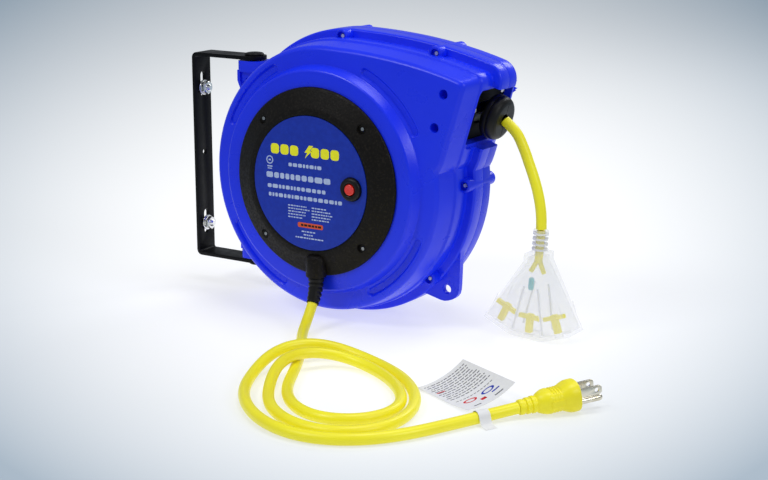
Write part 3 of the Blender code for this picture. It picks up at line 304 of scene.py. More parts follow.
BLUE = plastic("casing_blue", (0.006, 0.030, 0.90), (0.004, 0.021, 0.72), (0.025, 0.07, 0.98),
               0.29, 1500, 0.000030, Specular_IOR_Level=0.36)
BLACK = plastic("black_plastic", (0.0035, 0.003, 0.003), (0.002, 0.002, 0.002), (0.012, 0.011, 0.010), 0.38,
                1400, 0.00005,
                Specular_IOR_Level=0.25)
RUBBER = plastic("black_rubber", (0.0035, 0.0035, 0.004), (0.002, 0.002, 0.0025), (0.014, 0.014, 0.013), 0.46,
                 1100, 0.00006,
                 Specular_IOR_Level=0.25)
GUIDE_BLACK = plastic("guide_black", (0.002, 0.002, 0.002), (0.001, 0.001, 0.001), (0.008, 0.008, 0.008), 0.55,
                      1400, 0.00004,
                      Specular_IOR_Level=0.08)
RED = plastic("button_red", (0.80, 0.025, 0.012), (0.6, 0.012, 0.008), (0.95, 0.10, 0.06), 0.25, 1200, 0.00002,
              Coat_Weight=0.5, Coat_Roughness=0.1)
YELLOW = plastic("cord_yellow", (0.98, 0.90, 0.012), (0.86, 0.72, 0.008), (1.0, 0.97, 0.18), 0.40, 700, 0.00006,
                 Coat_Weight=0.1, Coat_Roughness=0.3)
MOULDED_YELLOW = plastic("plug_yellow", (0.97, 0.87, 0.012), (0.84, 0.69, 0.008), (1.0, 0.96, 0.16), 0.42, 900, 0.00005)
NYLON = plastic("nylon_white", (0.74, 0.74, 0.70), (0.60, 0.60, 0.56), (0.86, 0.86, 0.84), 0.42, 1200, 0.00003,
                Subsurface_Weight=0.05)
GREY = plastic("inner_grey", (0.14, 0.14, 0.15), (0.09, 0.09, 0.10), (0.24, 0.24, 0.25), 0.5, 900, 0.00004)
STEEL = metal("zinc_steel", (0.90, 0.90, 0.88), (0.50, 0.50, 0.51), 0.22)
DARK_STEEL = metal("dark_steel", (0.42, 0.41, 0.40), (0.12, 0.12, 0.12), 0.22)
ZINC = plastic("bright_zinc", (0.92, 0.92, 0.92), (0.60, 0.60, 0.60), (0.98, 0.98, 0.98), 0.28, 900, 0.00002,
               Metallic=0.4)
SPRING = metal("spring_steel", (0.40, 0.42, 0.45), (0.22, 0.24, 0.28), 0.34, (1, 6, 1))
BRASS = metal("brass_metal", (0.80, 0.62, 0.30), (0.55, 0.38, 0.14), 0.26, (1, 1, 5))
PLATED = metal("plated_brass", (0.78, 0.74, 0.62), (0.55, 0.47, 0.30), 0.24, (1, 1, 5))


def powder_coat():
    f = Finish("powder_coat_black", (0.002, 0.002, 0.0022), 0.38, Specular_IOR_Level=0.12)
    f.tint(f.ramp(f.noise(900, 3), 0.45, 0.75, 0.0, 0.6), (0.012, 0.012, 0.013))
    f.gloss(f.noise(160, 5), 0.3, 0.7, 0.34, 0.50)
    f.bump(f.noise(520, 2), 0.00012, 0.6)
    f.bump(f.noise(1600, 2), 0.00003, 0.5)
    return f.mat


def spark_texture():
    """Coarse spark-eroded grain of the round cover."""
    f = Finish("cover_texture", (0.0045, 0.0035, 0.0028), 0.42, Specular_IOR_Level=0.15)
    f.tint(f.ramp(f.noise(650, 4), 0.52, 0.72, 0.0, 0.75), (0.020, 0.016, 0.012))
    f.gloss(f.noise(500, 4), 0.35, 0.65, 0.34, 0.62)
    f.bump(f.noise(620, 4, (1, 1, 1), 0.6), 0.00022, 0.9)
    return f.mat


def film(name, colour, dark, roughness):
    f = Finish(name, colour, roughness, Specular_IOR_Level=0.28)
    f.tint(f.ramp(f.noise(260, 6, (1, 1, 1), 0.65), 0.42, 0.72, 0.0, 0.5), dark)
    f.gloss(f.noise(90, 5), 0.3, 0.7, roughness * 0.85, roughness * 1.2)
    f.bump(f.noise(1400, 2), 0.00002, 0.4)
    return f.mat


def clear_vinyl():
    f = Finish("clear_vinyl", (0.96, 0.965, 0.985), 0.14, Alpha=0.20, IOR=1.46, Coat_Weight=0.3, Coat_Roughness=0.08)
    f.tint(f.ramp(f.noise(70, 4), 0.45, 0.75, 0.0, 0.6), (0.94, 0.95, 0.97))
    f.gloss(f.noise(140, 4), 0.3, 0.7, 0.10, 0.26)
    f.bump(f.noise(110, 3), 0.0004, 0.35)
    return f.mat


FROSTED = plastic("frosted_vinyl", (0.95, 0.95, 0.97), (0.88, 0.88, 0.91), (1.0, 1.0, 1.0), 0.3, 800, 0.00003,
                  Alpha=0.7)
POWDER = powder_coat()
TEXTURED = spark_texture()
LABEL = film("label_blue", (0.005, 0.027, 0.36), (0.009, 0.045, 0.50), 0.36)
INK_YELLOW = film("ink_yellow", (0.93, 0.90, 0.02), (0.80, 0.74, 0.02), 0.4)
INK_WHITE = film("ink_white", (0.46, 0.55, 0.80), (0.28, 0.37, 0.68), 0.4)
INK_ORANGE = film("ink_orange", (0.72, 0.10, 0.03), (0.45, 0.05, 0.02), 0.4)
INK_GREY = film("ink_grey", (0.10, 0.10, 0.12), (0.22, 0.22, 0.24), 0.6)
INK_RED = film("ink_red", (0.62, 0.02, 0.02), (0.45, 0.02, 0.02), 0.6)
PAPER = film("tag_paper", (0.80, 0.80, 0.80), (0.70, 0.70, 0.71), 0.55)
CLEAR = clear_vinyl()
LAMP = plastic("lamp_green", (0.05, 0.50, 0.50), (0.03, 0.35, 0.40), (0.2, 0.8, 0.75), 0.2, 500, 0.00002,
               Coat_Weight=0.5)


# ---------------------------------------------------------------- camera, floor and light

def camera():
    data = bpy.data.cameras.new("camera")
    data.sensor_width = 36.0
    data.lens = 75.0
    cam = bpy.data.objects.new("camera", data)
    cam.location = (0.88756, -1.08125, 0.27871)
    cam.rotation_euler = [math.radians(a) for a in (76.281, 0.0, 32.796)]
    bpy.context.scene.collection.objects.link(cam)
    bpy.context.scene.camera = cam


FIELD_FROM = (0.88756, -1.08125, 0.0)           # ground point that the painted pool of light and its painted falloff spread from
FIELD_WAY = (-0.5417, 0.8406, 0.0)
FIELD_SIDE = (0.8406, 0.5417, 0.0)
FIELD_NEAREST = 0.5                             # keeps the division below finite, m
FIELD_WIDE, FIELD_DEEP = 0.24, 0.42             # half spans of the painted pool of light, as shares of the way ahead
FIELD_MIDDLE = 0.667                            # one over the way ahead to its middle
LIGHT_POOL_EDGE = (0.35, 2.0)                        # where the painted pool of light starts and ends its fade into painted shade


def floor():
    """Pale studio floor that glows a little, painted with a pool of light round the object and with painted shade,
    darker and cooler, towards the corners.
    """
    bm = cylinder(9.0, -0.01, 0.0, (0, 0, 1), (0.25, -0.05, FLOOR_Z), 96)
    # the floor's emission is a glow that stands in for light falling on it
    f = Finish("studio_floor", (1.0, 1.0, 1.0), 0.85, Specular_IOR_Level=0.05, Emission_Strength=0.60)

    def math_node(operation, a, b):
        made = f.node("Math", operation=operation)
        for slot, value in zip(made.inputs, (a, b)):
            if isinstance(value, float):
                slot.default_value = value
            else:
                f.link(value, slot)
        return made.outputs[0]

    def along(way):
        made = f.node("VectorMath", operation="DOT_PRODUCT")
        f.link(offset.outputs[0], made.inputs[0])
        made.inputs[1].default_value = way
        return made.outputs["Value"]

    offset = f.node("VectorMath", operation="SUBTRACT")
    f.link(f.coords.outputs["Object"], offset.inputs[0])
    offset.inputs[1].default_value = FIELD_FROM
    ahead = math_node("MAXIMUM", along(FIELD_WAY), FIELD_NEAREST)
    across = math_node("DIVIDE", math_node("DIVIDE", along(FIELD_SIDE), ahead), FIELD_WIDE)
    depth = math_node("DIVIDE", math_node("SUBTRACT", math_node("DIVIDE", 1.0, ahead), FIELD_MIDDLE), FIELD_DEEP)
    light_falloff = math_node("ADD", math_node("POWER", math_node("ABSOLUTE", across, 0.0), 2.0),
                       math_node("POWER", math_node("ABSOLUTE", depth, 0.0), 2.0))
    # painted falloff of light: the floor's glow turns darker and cooler away from the painted pool of light
    f.tint(f.ramp(light_falloff, *LIGHT_POOL_EDGE), (0.36, 0.46, 0.56))
    f.link(f.base, f.shader.inputs["Emission Color"])
    f.base = None
    # painted shade: the floor's base colour also darkens towards the corners
    f.colour = (0.46, 0.465, 0.47, 1.0)
    f.tint(f.ramp(light_falloff, *LIGHT_POOL_EDGE), (0.20, 0.22, 0.24))
    make("studio_floor", bm, f.mat, None)


def lamp(name, kind, place, target, energy, size=1.0, colour=(1, 1, 1)):
    data = bpy.data.lights.new(name, kind)
    data.energy = energy
    data.color = colour
    if kind == "AREA":
        data.shape = "DISK"
        data.size = size
    obj = bpy.data.objects.new(name, data)
    obj.location = place
    obj.rotation_euler = (Vector(target) - Vector(place)).to_track_quat("-Z", "Y").to_euler()
    bpy.context.scene.collection.objects.link(obj)


def studio():
    world = bpy.data.worlds.new("studio")
    bpy.context.scene.world = world
    world.use_nodes = True
    back = world.node_tree.nodes["Background"]
    back.inputs["Color"].default_value = (0.86, 0.92, 1.0, 1.0)
    back.inputs["Strength"].default_value = 0.34
    middle = (0.2, -0.03, 0.02)
    lamp("key", "AREA", (-0.5, -1.5, 1.7), middle, 15.0, 0.8)
    lamp("top", "AREA", (0.5, 0.1, 1.9), middle, 13.0, 1.0)
    lamp("side", "AREA", (1.7, -0.3, 0.8), middle, 6.0, 0.6)
    lamp("rear", "AREA", (0.5, 1.6, 1.2), middle, 8.0, 0.8)
    scene = bpy.context.scene
    scene.view_settings.view_transform = "Standard"


# ---------------------------------------------------------------- cords

RELIEF_TOP = Vector((171.0, -69.5, -54.2))
RELIEF_LEAN = math.radians(38.0)
RELIEF_TURN = math.radians(-82.0)
RELIEF_L = 22.0
RELIEF_BEND = RELIEF_L / RELIEF_LEAN
PLUG_START = Vector((408.5, -170.0, -88.5)) * MM
PLUG_WAY = Vector((25.5, 33.0, 4.5)).normalized()
TAP_TOP = Vector((336.0, 0.0, -8.0)) * MM
TAP_LEAN = math.radians(4.0)
LIE = -91.0                                     # height of the centre of a cord on the floor, mm
LANDING_STEPS = 36
SPAN_STEPS, EVEN_POINTS, EASING_ROUNDS = 24, 600, 40
CORD_DRAWN = 4.2 * MM

LEAD_ROUTE = [
    (188.5, -114.6, LIE), (199.9, -131.3, LIE), (210.8, -148.3, LIE), (221.1, -165.6, LIE),
    (230.8, -183.4, LIE), (239.9, -201.4, LIE), (250.3, -218.7, LIE), (263.2, -234.1, LIE),
    (279.2, -246.3, LIE), (298.2, -252.7, LIE), (317.8, -249, LIE), (332.4, -235.4, LIE),
    (337.5, -216.2, LIE), (332.1, -196.9, LIE), (320.6, -180.3, LIE), (306.2, -166.3, LIE),
    (289.8, -154.5, LIE), (271.6, -145.9, -90.5), (251.9, -144.2, -87.6), (234.5, -153, -83.8),
    (224.1, -169.9, -82.1), (223.6, -189.8, -83.4), (230.4, -208.5, -86.8), (239.8, -226, -90.1),
    (251.6, -242.4, LIE), (265.9, -256.5, LIE), (283, -267.2, LIE), (302.2, -273.1, LIE),
    (322.2, -272.1, LIE), (339.3, -261.9, LIE), (348.9, -244.4, LIE), (350.6, -224.4, LIE),
    (346.1, -204.7, LIE), (337.2, -186.7, LIE), (325, -170.6, LIE), (310.3, -156.8, LIE),
    (293.8, -145.2, LIE), (275.6, -136.6, -90.8), (256.1, -132.2, -89.0), (236.4, -133.8, -85.2),
    (218.9, -142.9, -82.0), (207.4, -159.2, -82.1), (204.6, -178.8, -85.0), (207.8, -198.3, -89.0),
    (214.7, -217.1, -90.9), (224.6, -234.7, LIE), (237.1, -250.5, LIE), (251.8, -264.3, LIE),
    (268.4, -275.7, LIE), (286.8, -283.9, LIE), (306.6, -287.4, LIE), (326.5, -284.5, LIE),
    (344.3, -275.2, LIE), (358.8, -261.2, LIE), (369.8, -244.3, LIE), (378.6, -226.2, LIE),
    (386.7, -207.7, LIE), (395.8, -189.7, -90.4),
]
OUTLET_ROUTE = [
    (313.0, 0, 65.4), (319.0, 0, 55.0), (324.0, 0, 43.5), (328.5, 0, 32.5), (332.2, 0, 21.5), (334.8, 0, 10.0),
    (335.8, 0, 1.0),
]


def smooth_line(route, samples):
    """Evenly spaced points of a centripetal Catmull-Rom line through the route's points, in mm."""
    pts = [Vector(p) * MM for p in route]
    pts = [pts[0] * 2 - pts[1]] + pts + [pts[-1] * 2 - pts[-2]]
    dense = []
    for i in range(1, len(pts) - 2):
        p0, p1, p2, p3 = pts[i - 1:i + 3]
        t0 = 0.0
        t1 = t0 + math.sqrt((p1 - p0).length)
        t2 = t1 + math.sqrt((p2 - p1).length)
        t3 = t2 + math.sqrt((p3 - p2).length)
        for k in range(SPAN_STEPS):
            t = t1 + (t2 - t1) * k / SPAN_STEPS
            a1 = p0 * ((t1 - t) / (t1 - t0)) + p1 * ((t - t0) / (t1 - t0))
            a2 = p1 * ((t2 - t) / (t2 - t1)) + p2 * ((t - t1) / (t2 - t1))
            a3 = p2 * ((t3 - t) / (t3 - t2)) + p3 * ((t - t2) / (t3 - t2))
            b1 = a1 * ((t2 - t) / (t2 - t0)) + a2 * ((t - t0) / (t2 - t0))
            b2 = a2 * ((t3 - t) / (t3 - t1)) + a3 * ((t - t1) / (t3 - t1))
            dense.append(b1 * ((t2 - t) / (t2 - t1)) + b2 * ((t - t1) / (t2 - t1)))
    dense.append(pts[-2])
    line = even(np.array([tuple(p) for p in dense]), EVEN_POINTS)
    for _ in range(EASING_ROUNDS):
        line[2:-2] += 0.5 * ((line[1:-3] + line[3:-1]) / 2 - line[2:-2])
    line = even(line, samples)
    return line, float(np.linalg.norm(np.diff(line, axis=0), axis=1).sum())


def even(line, samples):
    """The same line with points an even way apart."""
    steps = np.linalg.norm(np.diff(line, axis=0), axis=1)
    travel = np.concatenate([[0.0], np.cumsum(steps)])
    marks = np.linspace(0.0, travel[-1], samples)
    return np.stack([np.interp(marks, travel, line[:, k]) for k in range(3)], axis=1)


def landing(start):
    """Points from the strain relief down to the floor, pitch and compass direction easing."""
    points = []
    place = Vector(start)
    pitch = math.radians(90) - RELIEF_LEAN
    for k in range(1, LANDING_STEPS + 1):
        share = max(0.0, (k - 0.5 - 3.0) / (LANDING_STEPS - 3.0))
        down = pitch * (1 - share)
        turn = RELIEF_TURN + math.radians(22.0) * share
        place = place + Vector((math.cos(turn) * math.cos(down), math.sin(turn) * math.cos(down), -math.sin(down)))
        if k % 8 == 3:
            points.append((place.x, place.y, max(place.z, LIE)))
    return points


def cord_curve(name, route, samples, node, body):
    points, length = smooth_line(route, samples)
    curve = bpy.data.curves.new(name, "CURVE")
    curve.dimensions = "3D"
    curve.bevel_depth = CORD_DRAWN
    curve.bevel_resolution = 6
    curve.use_fill_caps = True
    spline = curve.splines.new("POLY")
    spline.points.add(len(points) - 1)
    for slot, point in zip(spline.points, points):
        slot.co = (*point, 1.0)
    spline.use_smooth = True
    curve.materials.append(YELLOW)
    obj = bpy.data.objects.new(name, curve)
    bpy.context.scene.collection.objects.link(obj)
    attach(obj, body)
    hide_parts(node)
    return obj, points, length


def relief_point(travel):
    """Point and direction along the strain relief's bent axis, travel in mm from its top."""
    angle = travel / RELIEF_BEND
    way = Vector((math.cos(RELIEF_TURN), math.sin(RELIEF_TURN), 0))
    point = RELIEF_TOP + way * (RELIEF_BEND * (1 - math.cos(angle))) - Vector((0, 0, RELIEF_BEND * math.sin(angle)))
    return point, way * math.sin(angle) + Vector((0, 0, -math.cos(angle)))


def cords():
    start, direction = relief_point(RELIEF_L + 0.3)
    end = PLUG_START - PLUG_WAY * (0.3 * MM)
    route = [tuple(start)] + landing(start) + LEAD_ROUTE
    route += [tuple((end - PLUG_WAY * (6.0 * MM)) / MM), tuple(end / MM)]
    lead = cord_curve("mains_lead", route, 300, "lead_cord", "casing")
    out = Vector((math.cos(MOUTH_TILT), 0, -math.sin(MOUTH_TILT)))
    first = (MOUTH_CENTRE + out * (15.9 * MM)) / MM
    top = (TAP_TOP + Vector(mm(0, 0, 0.8))) / MM
    outlet = cord_curve("reel_cord", [tuple(first)] + OUTLET_ROUTE + [tuple(top)], 60, "outlet_cord", "casing")
    return lead, outlet


# ---------------------------------------------------------------- casing

CASE_R = 106.7 * MM
HALF_DEPTH = 54.0 * MM
WALL = 2.6 * MM
BAND_HALF = 13.0 * MM
BAND_STEP = 10.2 * MM
RAISED_Y = -62.6 * MM


def base_outline():
    """Dense outline of the front face round the drum's centre, anticlockwise from the jog."""
    jog = math.radians(9.0)
    line = [Vector((CASE_R * math.cos(jog), CASE_R * math.sin(jog)))]
    foot = Vector((109.6, 22.1)) * MM
    corner = Vector((124.0, 84.2)) * MM
    start = math.radians(86.0)
    top = Vector((CASE_R * math.cos(start), CASE_R * math.sin(start)))
    side = math.degrees(math.atan2(-(corner - foot).x, (corner - foot).y))
    turn = arc(corner, 4.6 * MM, side, 75.0, 12)
    line += [foot.lerp(Vector(turn[0]), k / 30) for k in range(31)]
    line += [Vector(p) for p in turn[1:]]
    pull = Vector((74.0, 104.2)) * MM
    first = Vector(turn[-1])
    for k in range(1, 50):
        t = k / 50
        line.append(first * (1 - t) ** 2 + pull * 2 * t * (1 - t) + top * t ** 2)
    sweep = 2 * math.pi + jog - start
    for k in range(360):
        angle = start + sweep * k / 360
        line.append(Vector((CASE_R * math.cos(angle), CASE_R * math.sin(angle))))
    return np.array([tuple(p) for p in line])


BASE = base_outline()
ANGLES = sorted([math.radians(a) for a in np.arange(0.4, 360, 2.0) if not 29 < a < 40]
                + [math.radians(a) for a in np.arange(29, 40, 0.6)])


def outline(offset, height):
    """The casing outline grown by offset, as a ring at the given Y."""
    ahead = np.roll(BASE, -1, axis=0)
    behind = np.roll(BASE, 1, axis=0)
    tangent = ahead - behind
    normal = np.stack([tangent[:, 1], -tangent[:, 0]], axis=1)
    normal /= np.linalg.norm(normal, axis=1)[:, None]
    grown = BASE + normal * offset
    after = np.roll(grown, -1, axis=0)
    ring = []
    for angle in ANGLES:
        ray = np.array([math.cos(angle), math.sin(angle)])
        side = np.array([-ray[1], ray[0]])
        a = grown @ side
        b = after @ side
        hit = (a <= 0) & (b > 0) & ((grown @ ray) > 0)
        t = -a[hit] / (b[hit] - a[hit])
        reach = ((grown[hit] + (after[hit] - grown[hit]) * t[:, None]) @ ray).max()
        ring.append((ray[0] * reach, height, ray[1] * reach))
    return np.array(ring)


def circle(radius, height):
    return np.array([(radius * math.cos(a), height, radius * math.sin(a)) for a in ANGLES])


def rounded_rings(rings, widths):
    """Fillet the shell's section at each ring by the given width."""
    out = []
    count = len(rings)
    for i, (ring, width) in enumerate(zip(rings, widths)):
        if not width:
            out.append(ring)
            continue
        before = rings[i - 1] - ring
        after = rings[(i + 1) % count] - ring
        for share in (before, after):
            length = np.linalg.norm(share, axis=1)[:, None]
            share *= np.minimum(width / np.maximum(length, 1e-9), 0.42)
        a = ring + before
        b = ring + after
        out += [a, (a + 2 * ring + b) / 4, b]
    return [[Vector(p) for p in ring] for ring in out]


SCREW_SPOTS = [(111.6 * MM * math.cos(math.radians(a)), 111.6 * MM * math.sin(math.radians(a)))
               for a in (91.5, 1.0, 316.0)] + [mm(84.5, 103.4)]
BLIND_SPOTS = [mm(111.5, 77.8), mm(103.8, 51.6)]
COVER_SCREWS = [(67.1 * MM * math.cos(math.radians(a)), 67.1 * MM * math.sin(math.radians(a)))
                for a in (45, 135, 225, 315)]
HEAD_Y = -19.5 * MM
BRACKET_Z = mm(-71.2, 109.0)
BRACKET_T = 3.2 * MM
ARM_X = 60.0 * MM


# (x, distance below the arm) of the web's outline and of its outer rim, in mm
LUG_TALL = 9.1 * MM
WEB = [(-117.6, 8.0), (-117.6, 16.9), (-113.8, 26.0), (-109.4, 38.4), (-98, 38.4), (-82, 16.9), (-82, 8.0)]
WEB_RIM = [(-117.8, 8.0), (-117.8, 17.0), (-114.0, 26.1), (-109.6, 38.4), (-107.0, 38.4), (-111.6, 25.2),
           (-115.0, 16.4),
           (-115.0, 8.0)]


def lug_solids(front):
    """Barrels round the pivots, with thinner pocketed webs that run back into the casing."""
    solids = []
    sign = -1 if front else 1
    arm = BRACKET_T + 0.9 * MM
    for way, face in ((1, BRACKET_Z[1] - arm - AXIS.z), (-1, BRACKET_Z[0] + arm - AXIS.z)):
        reach = abs(face) - LUG_TALL
        inner = -math.sqrt((98 * MM) ** 2 - reach ** 2)
        corner = arc(mm(-112.5, sign * 6.4), 5.5 * MM, 180, 180 - 90 * sign, 10)
        outline_xy = [(corner[0][0], sign * PART_GAP)] + corner + [(inner, corner[-1][1]), (inner, sign * PART_GAP)]
        rings = [[Vector((x, y, z)) for x, y in outline_xy] for z in (face, face - way * LUG_TALL)]
        solids.append(bevel(ring_mesh(bmesh.new(), rings), 0.5 * MM, 2, 40))
        for points, depth in ((WEB, 8.6), (WEB_RIM, 10.4)):
            shape = [(x * MM, face - way * d * MM) for x, d in points]
            near, far = sorted((sign * PART_GAP, sign * depth * MM))
            web = bevel(prism(shape, near, far), 0.45 * MM, 2, 40)
            if front and depth < 10:
                centre = Vector((-108.4 * MM, 0, face - way * 18.6 * MM))
                pocket = [(centre.x + x * MM, centre.z - way * d * MM) for x, d in ((-4.4, 0), (-0.6, -4.6),
                                                                                    (3.0, 0), (-1.6, 5.6))]
                piece = make("web", web, None, None)
                combine(piece, "DIFFERENCE", prism(pocket, -12 * MM, -4.6 * MM))
                web = bmesh.new()
                web.from_mesh(piece.data)
                bpy.data.objects.remove(piece, do_unlink=True)
            solids.append(web)
    return solids


def lug_bores():
    bm = bmesh.new()
    x = ARM_X - AXIS.x
    cylinder(5.8 * MM, BRACKET_Z[1] - BRACKET_T - AXIS.z - 16 * MM, BRACKET_Z[1] - AXIS.z, (0, 0, 1), (x, 0, 0), 40, bm)
    cylinder(5.8 * MM, BRACKET_Z[0] - AXIS.z, BRACKET_Z[0] + BRACKET_T - AXIS.z + 16 * MM, (0, 0, 1), (x, 0, 0), 40, bm)
    return bm


def half_rounded(half_w, half_h, radius, sign):
    """One half of a rounded rectangle, as (y, z) points, cut at the parting plane."""
    w, h = half_w - radius, half_h - radius
    right = arc((w, -h), radius, -90, 0, 8) + arc((w, h), radius, 0, 90, 8)
    points = [(PART_GAP, -half_h)] + right + [(PART_GAP, half_h)]
    return [(sign * y, z) for y, z in points]


def mouth_prism(points, x0, x1, edge=0.0):
    m = Matrix.Translation(MOUTH_CENTRE - AXIS) @ Matrix.Rotation(MOUTH_TILT, 4, "Y")
    bm = ring_mesh(bmesh.new(), [[m @ Vector((x, y, z)) for y, z in points] for x in (x0, x1)])
    return bevel(bm, edge, 3, 50) if edge else bm


def full_rounded(half_w, half_h, radius):
    points = []
    for cx, cy, start in ((1, -1, -90), (1, 1, 0), (-1, 1, 90), (-1, -1, 180)):
        points += arc((cx * (half_w - radius), cy * (half_h - radius)), radius, start, start + 90, 8)
    return points


def open_mouth(shell, front):
    """Union the collar, clear the way in front of it and cut the opening."""
    sign = -1 if front else 1
    combine(shell, "UNION", mouth_prism(half_rounded(30.4 * MM, 24.4 * MM, 5.0 * MM, sign), -14 * MM, 1.6 * MM,
                                        0.7 * MM))
    combine(shell, "UNION", mouth_walls(sign))
    combine(shell, "DIFFERENCE", mouth_prism(full_rounded(31.0 * MM, 25.0 * MM, 5.4 * MM), 1.7 * MM, 40 * MM))
    combine(shell, "DIFFERENCE", mouth_prism(full_rounded(28.0 * MM, 22.0 * MM, 3.2 * MM), -30 * MM, 20 * MM))


def bosses(front):
    bm = bmesh.new()
    for x, z in SCREW_SPOTS:
        if front:
            profile = [(5.6 * MM, -PART_GAP), mm(5.6, -21.2), mm(5.3, -21.8), mm(4.8, -22.0)]
        else:
            profile = [(5.6 * MM, PART_GAP), mm(5.6, 19.2), mm(5.2, 19.8), mm(4.6, 20.0)]
        turned(profile, (0, 1, 0), (x, 0, z), 40, bm)
    return bm


def groove_outline(middle, inner, outer, height):
    """Outline of an arc-shaped groove with round ends, as a ring at the given Y."""
    mid, half = (inner + outer) / 2, (outer - inner) / 2
    low, high = middle - 18.5, middle + 18.5
    end = Vector((math.cos(math.radians(high)), math.sin(math.radians(high)))) * mid
    start = Vector((math.cos(math.radians(low)), math.sin(math.radians(low)))) * mid
    shape = arc((0, 0), outer, low, high, 24)
    shape += arc(end, half, high, high + 180, 10)[1:-1]
    shape += arc((0, 0), inner, high, low, 24)
    shape += arc(start, half, low + 180, low + 360, 10)[1:-1]
    return [Vector((x, height, z)) for x, z in shape]


def arc_recess(bm, middle):
    """One of the four shallow grooves in the front face, with sloped walls."""
    rings = [groove_outline(middle, 93.2 * MM, 101.8 * MM, -60 * MM),
             groove_outline(middle, 93.2 * MM, 101.8 * MM, -HALF_DEPTH - 0.05 * MM),
             groove_outline(middle, 94.2 * MM, 100.8 * MM, -HALF_DEPTH + 0.7 * MM),
             groove_outline(middle, 95.2 * MM, 99.8 * MM, -HALF_DEPTH + 2.1 * MM)]
    joined(bm, ring_mesh(bmesh.new(), rings))


def mouth_walls(sign):
    """Walls that close the band's hollow just above and below the mouth."""
    near, far = sorted((sign * PART_GAP, sign * (BAND_HALF - 1.0 * MM)))
    m = Matrix.Translation(MOUTH_CENTRE - AXIS) @ Matrix.Rotation(MOUTH_TILT, 4, "Y")
    bm = bmesh.new()
    for low, high, reach in (mm(-27.6, -24.0, 8.4), mm(24.0, 27.6, 9.6)):
        box((-12 * MM, near, low), (reach, far, high), bm, m)
    return bm


def front_shell():
    rings = [
        (circle(62 * MM, RAISED_Y), 0.0), (circle(87.6 * MM, RAISED_Y), 0.5),
             (circle(89.1 * MM, RAISED_Y + 0.8 * MM), 0.5),
        (circle(92.2 * MM, -HALF_DEPTH), 1.2), (outline(-2.4 * MM, -HALF_DEPTH), 1.2),
        (outline(0.4 * MM, -HALF_DEPTH + 2.6 * MM), 1.2), (outline(2.4 * MM, -32 * MM), 0.5),
        (outline(3.9 * MM, -31 * MM), 0.6), (outline(4.3 * MM, -20 * MM), 0.6), (outline(2.6 * MM, -18.6 * MM), 0.6),
        (outline(3.2 * MM, -BAND_HALF + 0.2 * MM), 1.0), (outline(BAND_STEP - 1.2 * MM, -BAND_HALF), 0.5),
        (outline(BAND_STEP, -BAND_HALF + 1.2 * MM), 0.6), (outline(BAND_STEP + 0.2 * MM, -PART_GAP), 0.25),
        (outline(BAND_STEP - WALL, -PART_GAP), 0.0), (outline(BAND_STEP - WALL, -BAND_HALF + WALL), 0.0),
        (outline(0.4 * MM, -BAND_HALF + WALL), 0.0), (outline(-1.0 * MM, -32 * MM), 0.0),
        (outline(-2.8 * MM, -HALF_DEPTH + WALL + 1 * MM), 0.0), (circle(90.0 * MM, -HALF_DEPTH + WALL), 0.0),
        (circle(86.6 * MM, RAISED_Y + WALL), 0.0), (circle(62 * MM, RAISED_Y + WALL), 0.0),
    ]
    skin = rounded_rings([r for r, w in rings], [w * MM for r, w in rings])
    shell = make("front_half", ring_mesh(bmesh.new(), skin, True), BLUE, "casing", ["front_shell"])
    for solid in lug_solids(True):
        combine(shell, "UNION", solid)
    combine(shell, "UNION", bosses(True))
    blind = bmesh.new()
    for x, z in BLIND_SPOTS:
        cylinder(5.9 * MM, -HALF_DEPTH + 0.8 * MM, -42 * MM, (0, 1, 0), (x, 0, z), 40, blind)
    ear = [(103.6, -50), (102.6, -80), (102.2, -86), (101.4, -89.6), (99.4, -92.6), (96.2, -94.8), (92.6, -96.2),
           (89, -97), (85, -96.6), (66, -92), (77, -69)]
    plate = prism([mm(x, z) for x, z in ear], -11 * MM, -6 * MM)
    joined(blind, bevel(plate, 0.6 * MM, 2, 50))
    combine(shell, "UNION", blind)
    open_mouth(shell, True)
    holes = bmesh.new()
    for x, z in SCREW_SPOTS:
        turned([mm(4.1, -25), mm(3.7, -21.6), (3.7 * MM, HEAD_Y + GAP), (2.0 * MM, HEAD_Y + GAP),
                mm(2.0, 2)], (0, 1, 0), (x, 0, z), 32, holes)
    for x, z in BLIND_SPOTS:
        turned([mm(4.3, -55), mm(3.7, -53.5), mm(3.7, -44.5)], (0, 1, 0), (x, 0, z), 40, holes)
    for x, z in COVER_SCREWS:
        cylinder(1.7 * MM, -70 * MM, -50 * MM, (0, 1, 0), (x, 0, z), 16, holes)
    turned([mm(4.4, -12.0), mm(3.6, -10.4), mm(3.6, 0)], (0, 1, 0), mm(91, 0, -87), 40, holes)
    for middle in (47, 137, 227, 317):
        arc_recess(holes, middle)
    combine(shell, "DIFFERENCE", holes)
    combine(shell, "DIFFERENCE", lug_bores(), 30.0)
    shell.data.transform(Matrix.Translation(AXIS))
    return shell


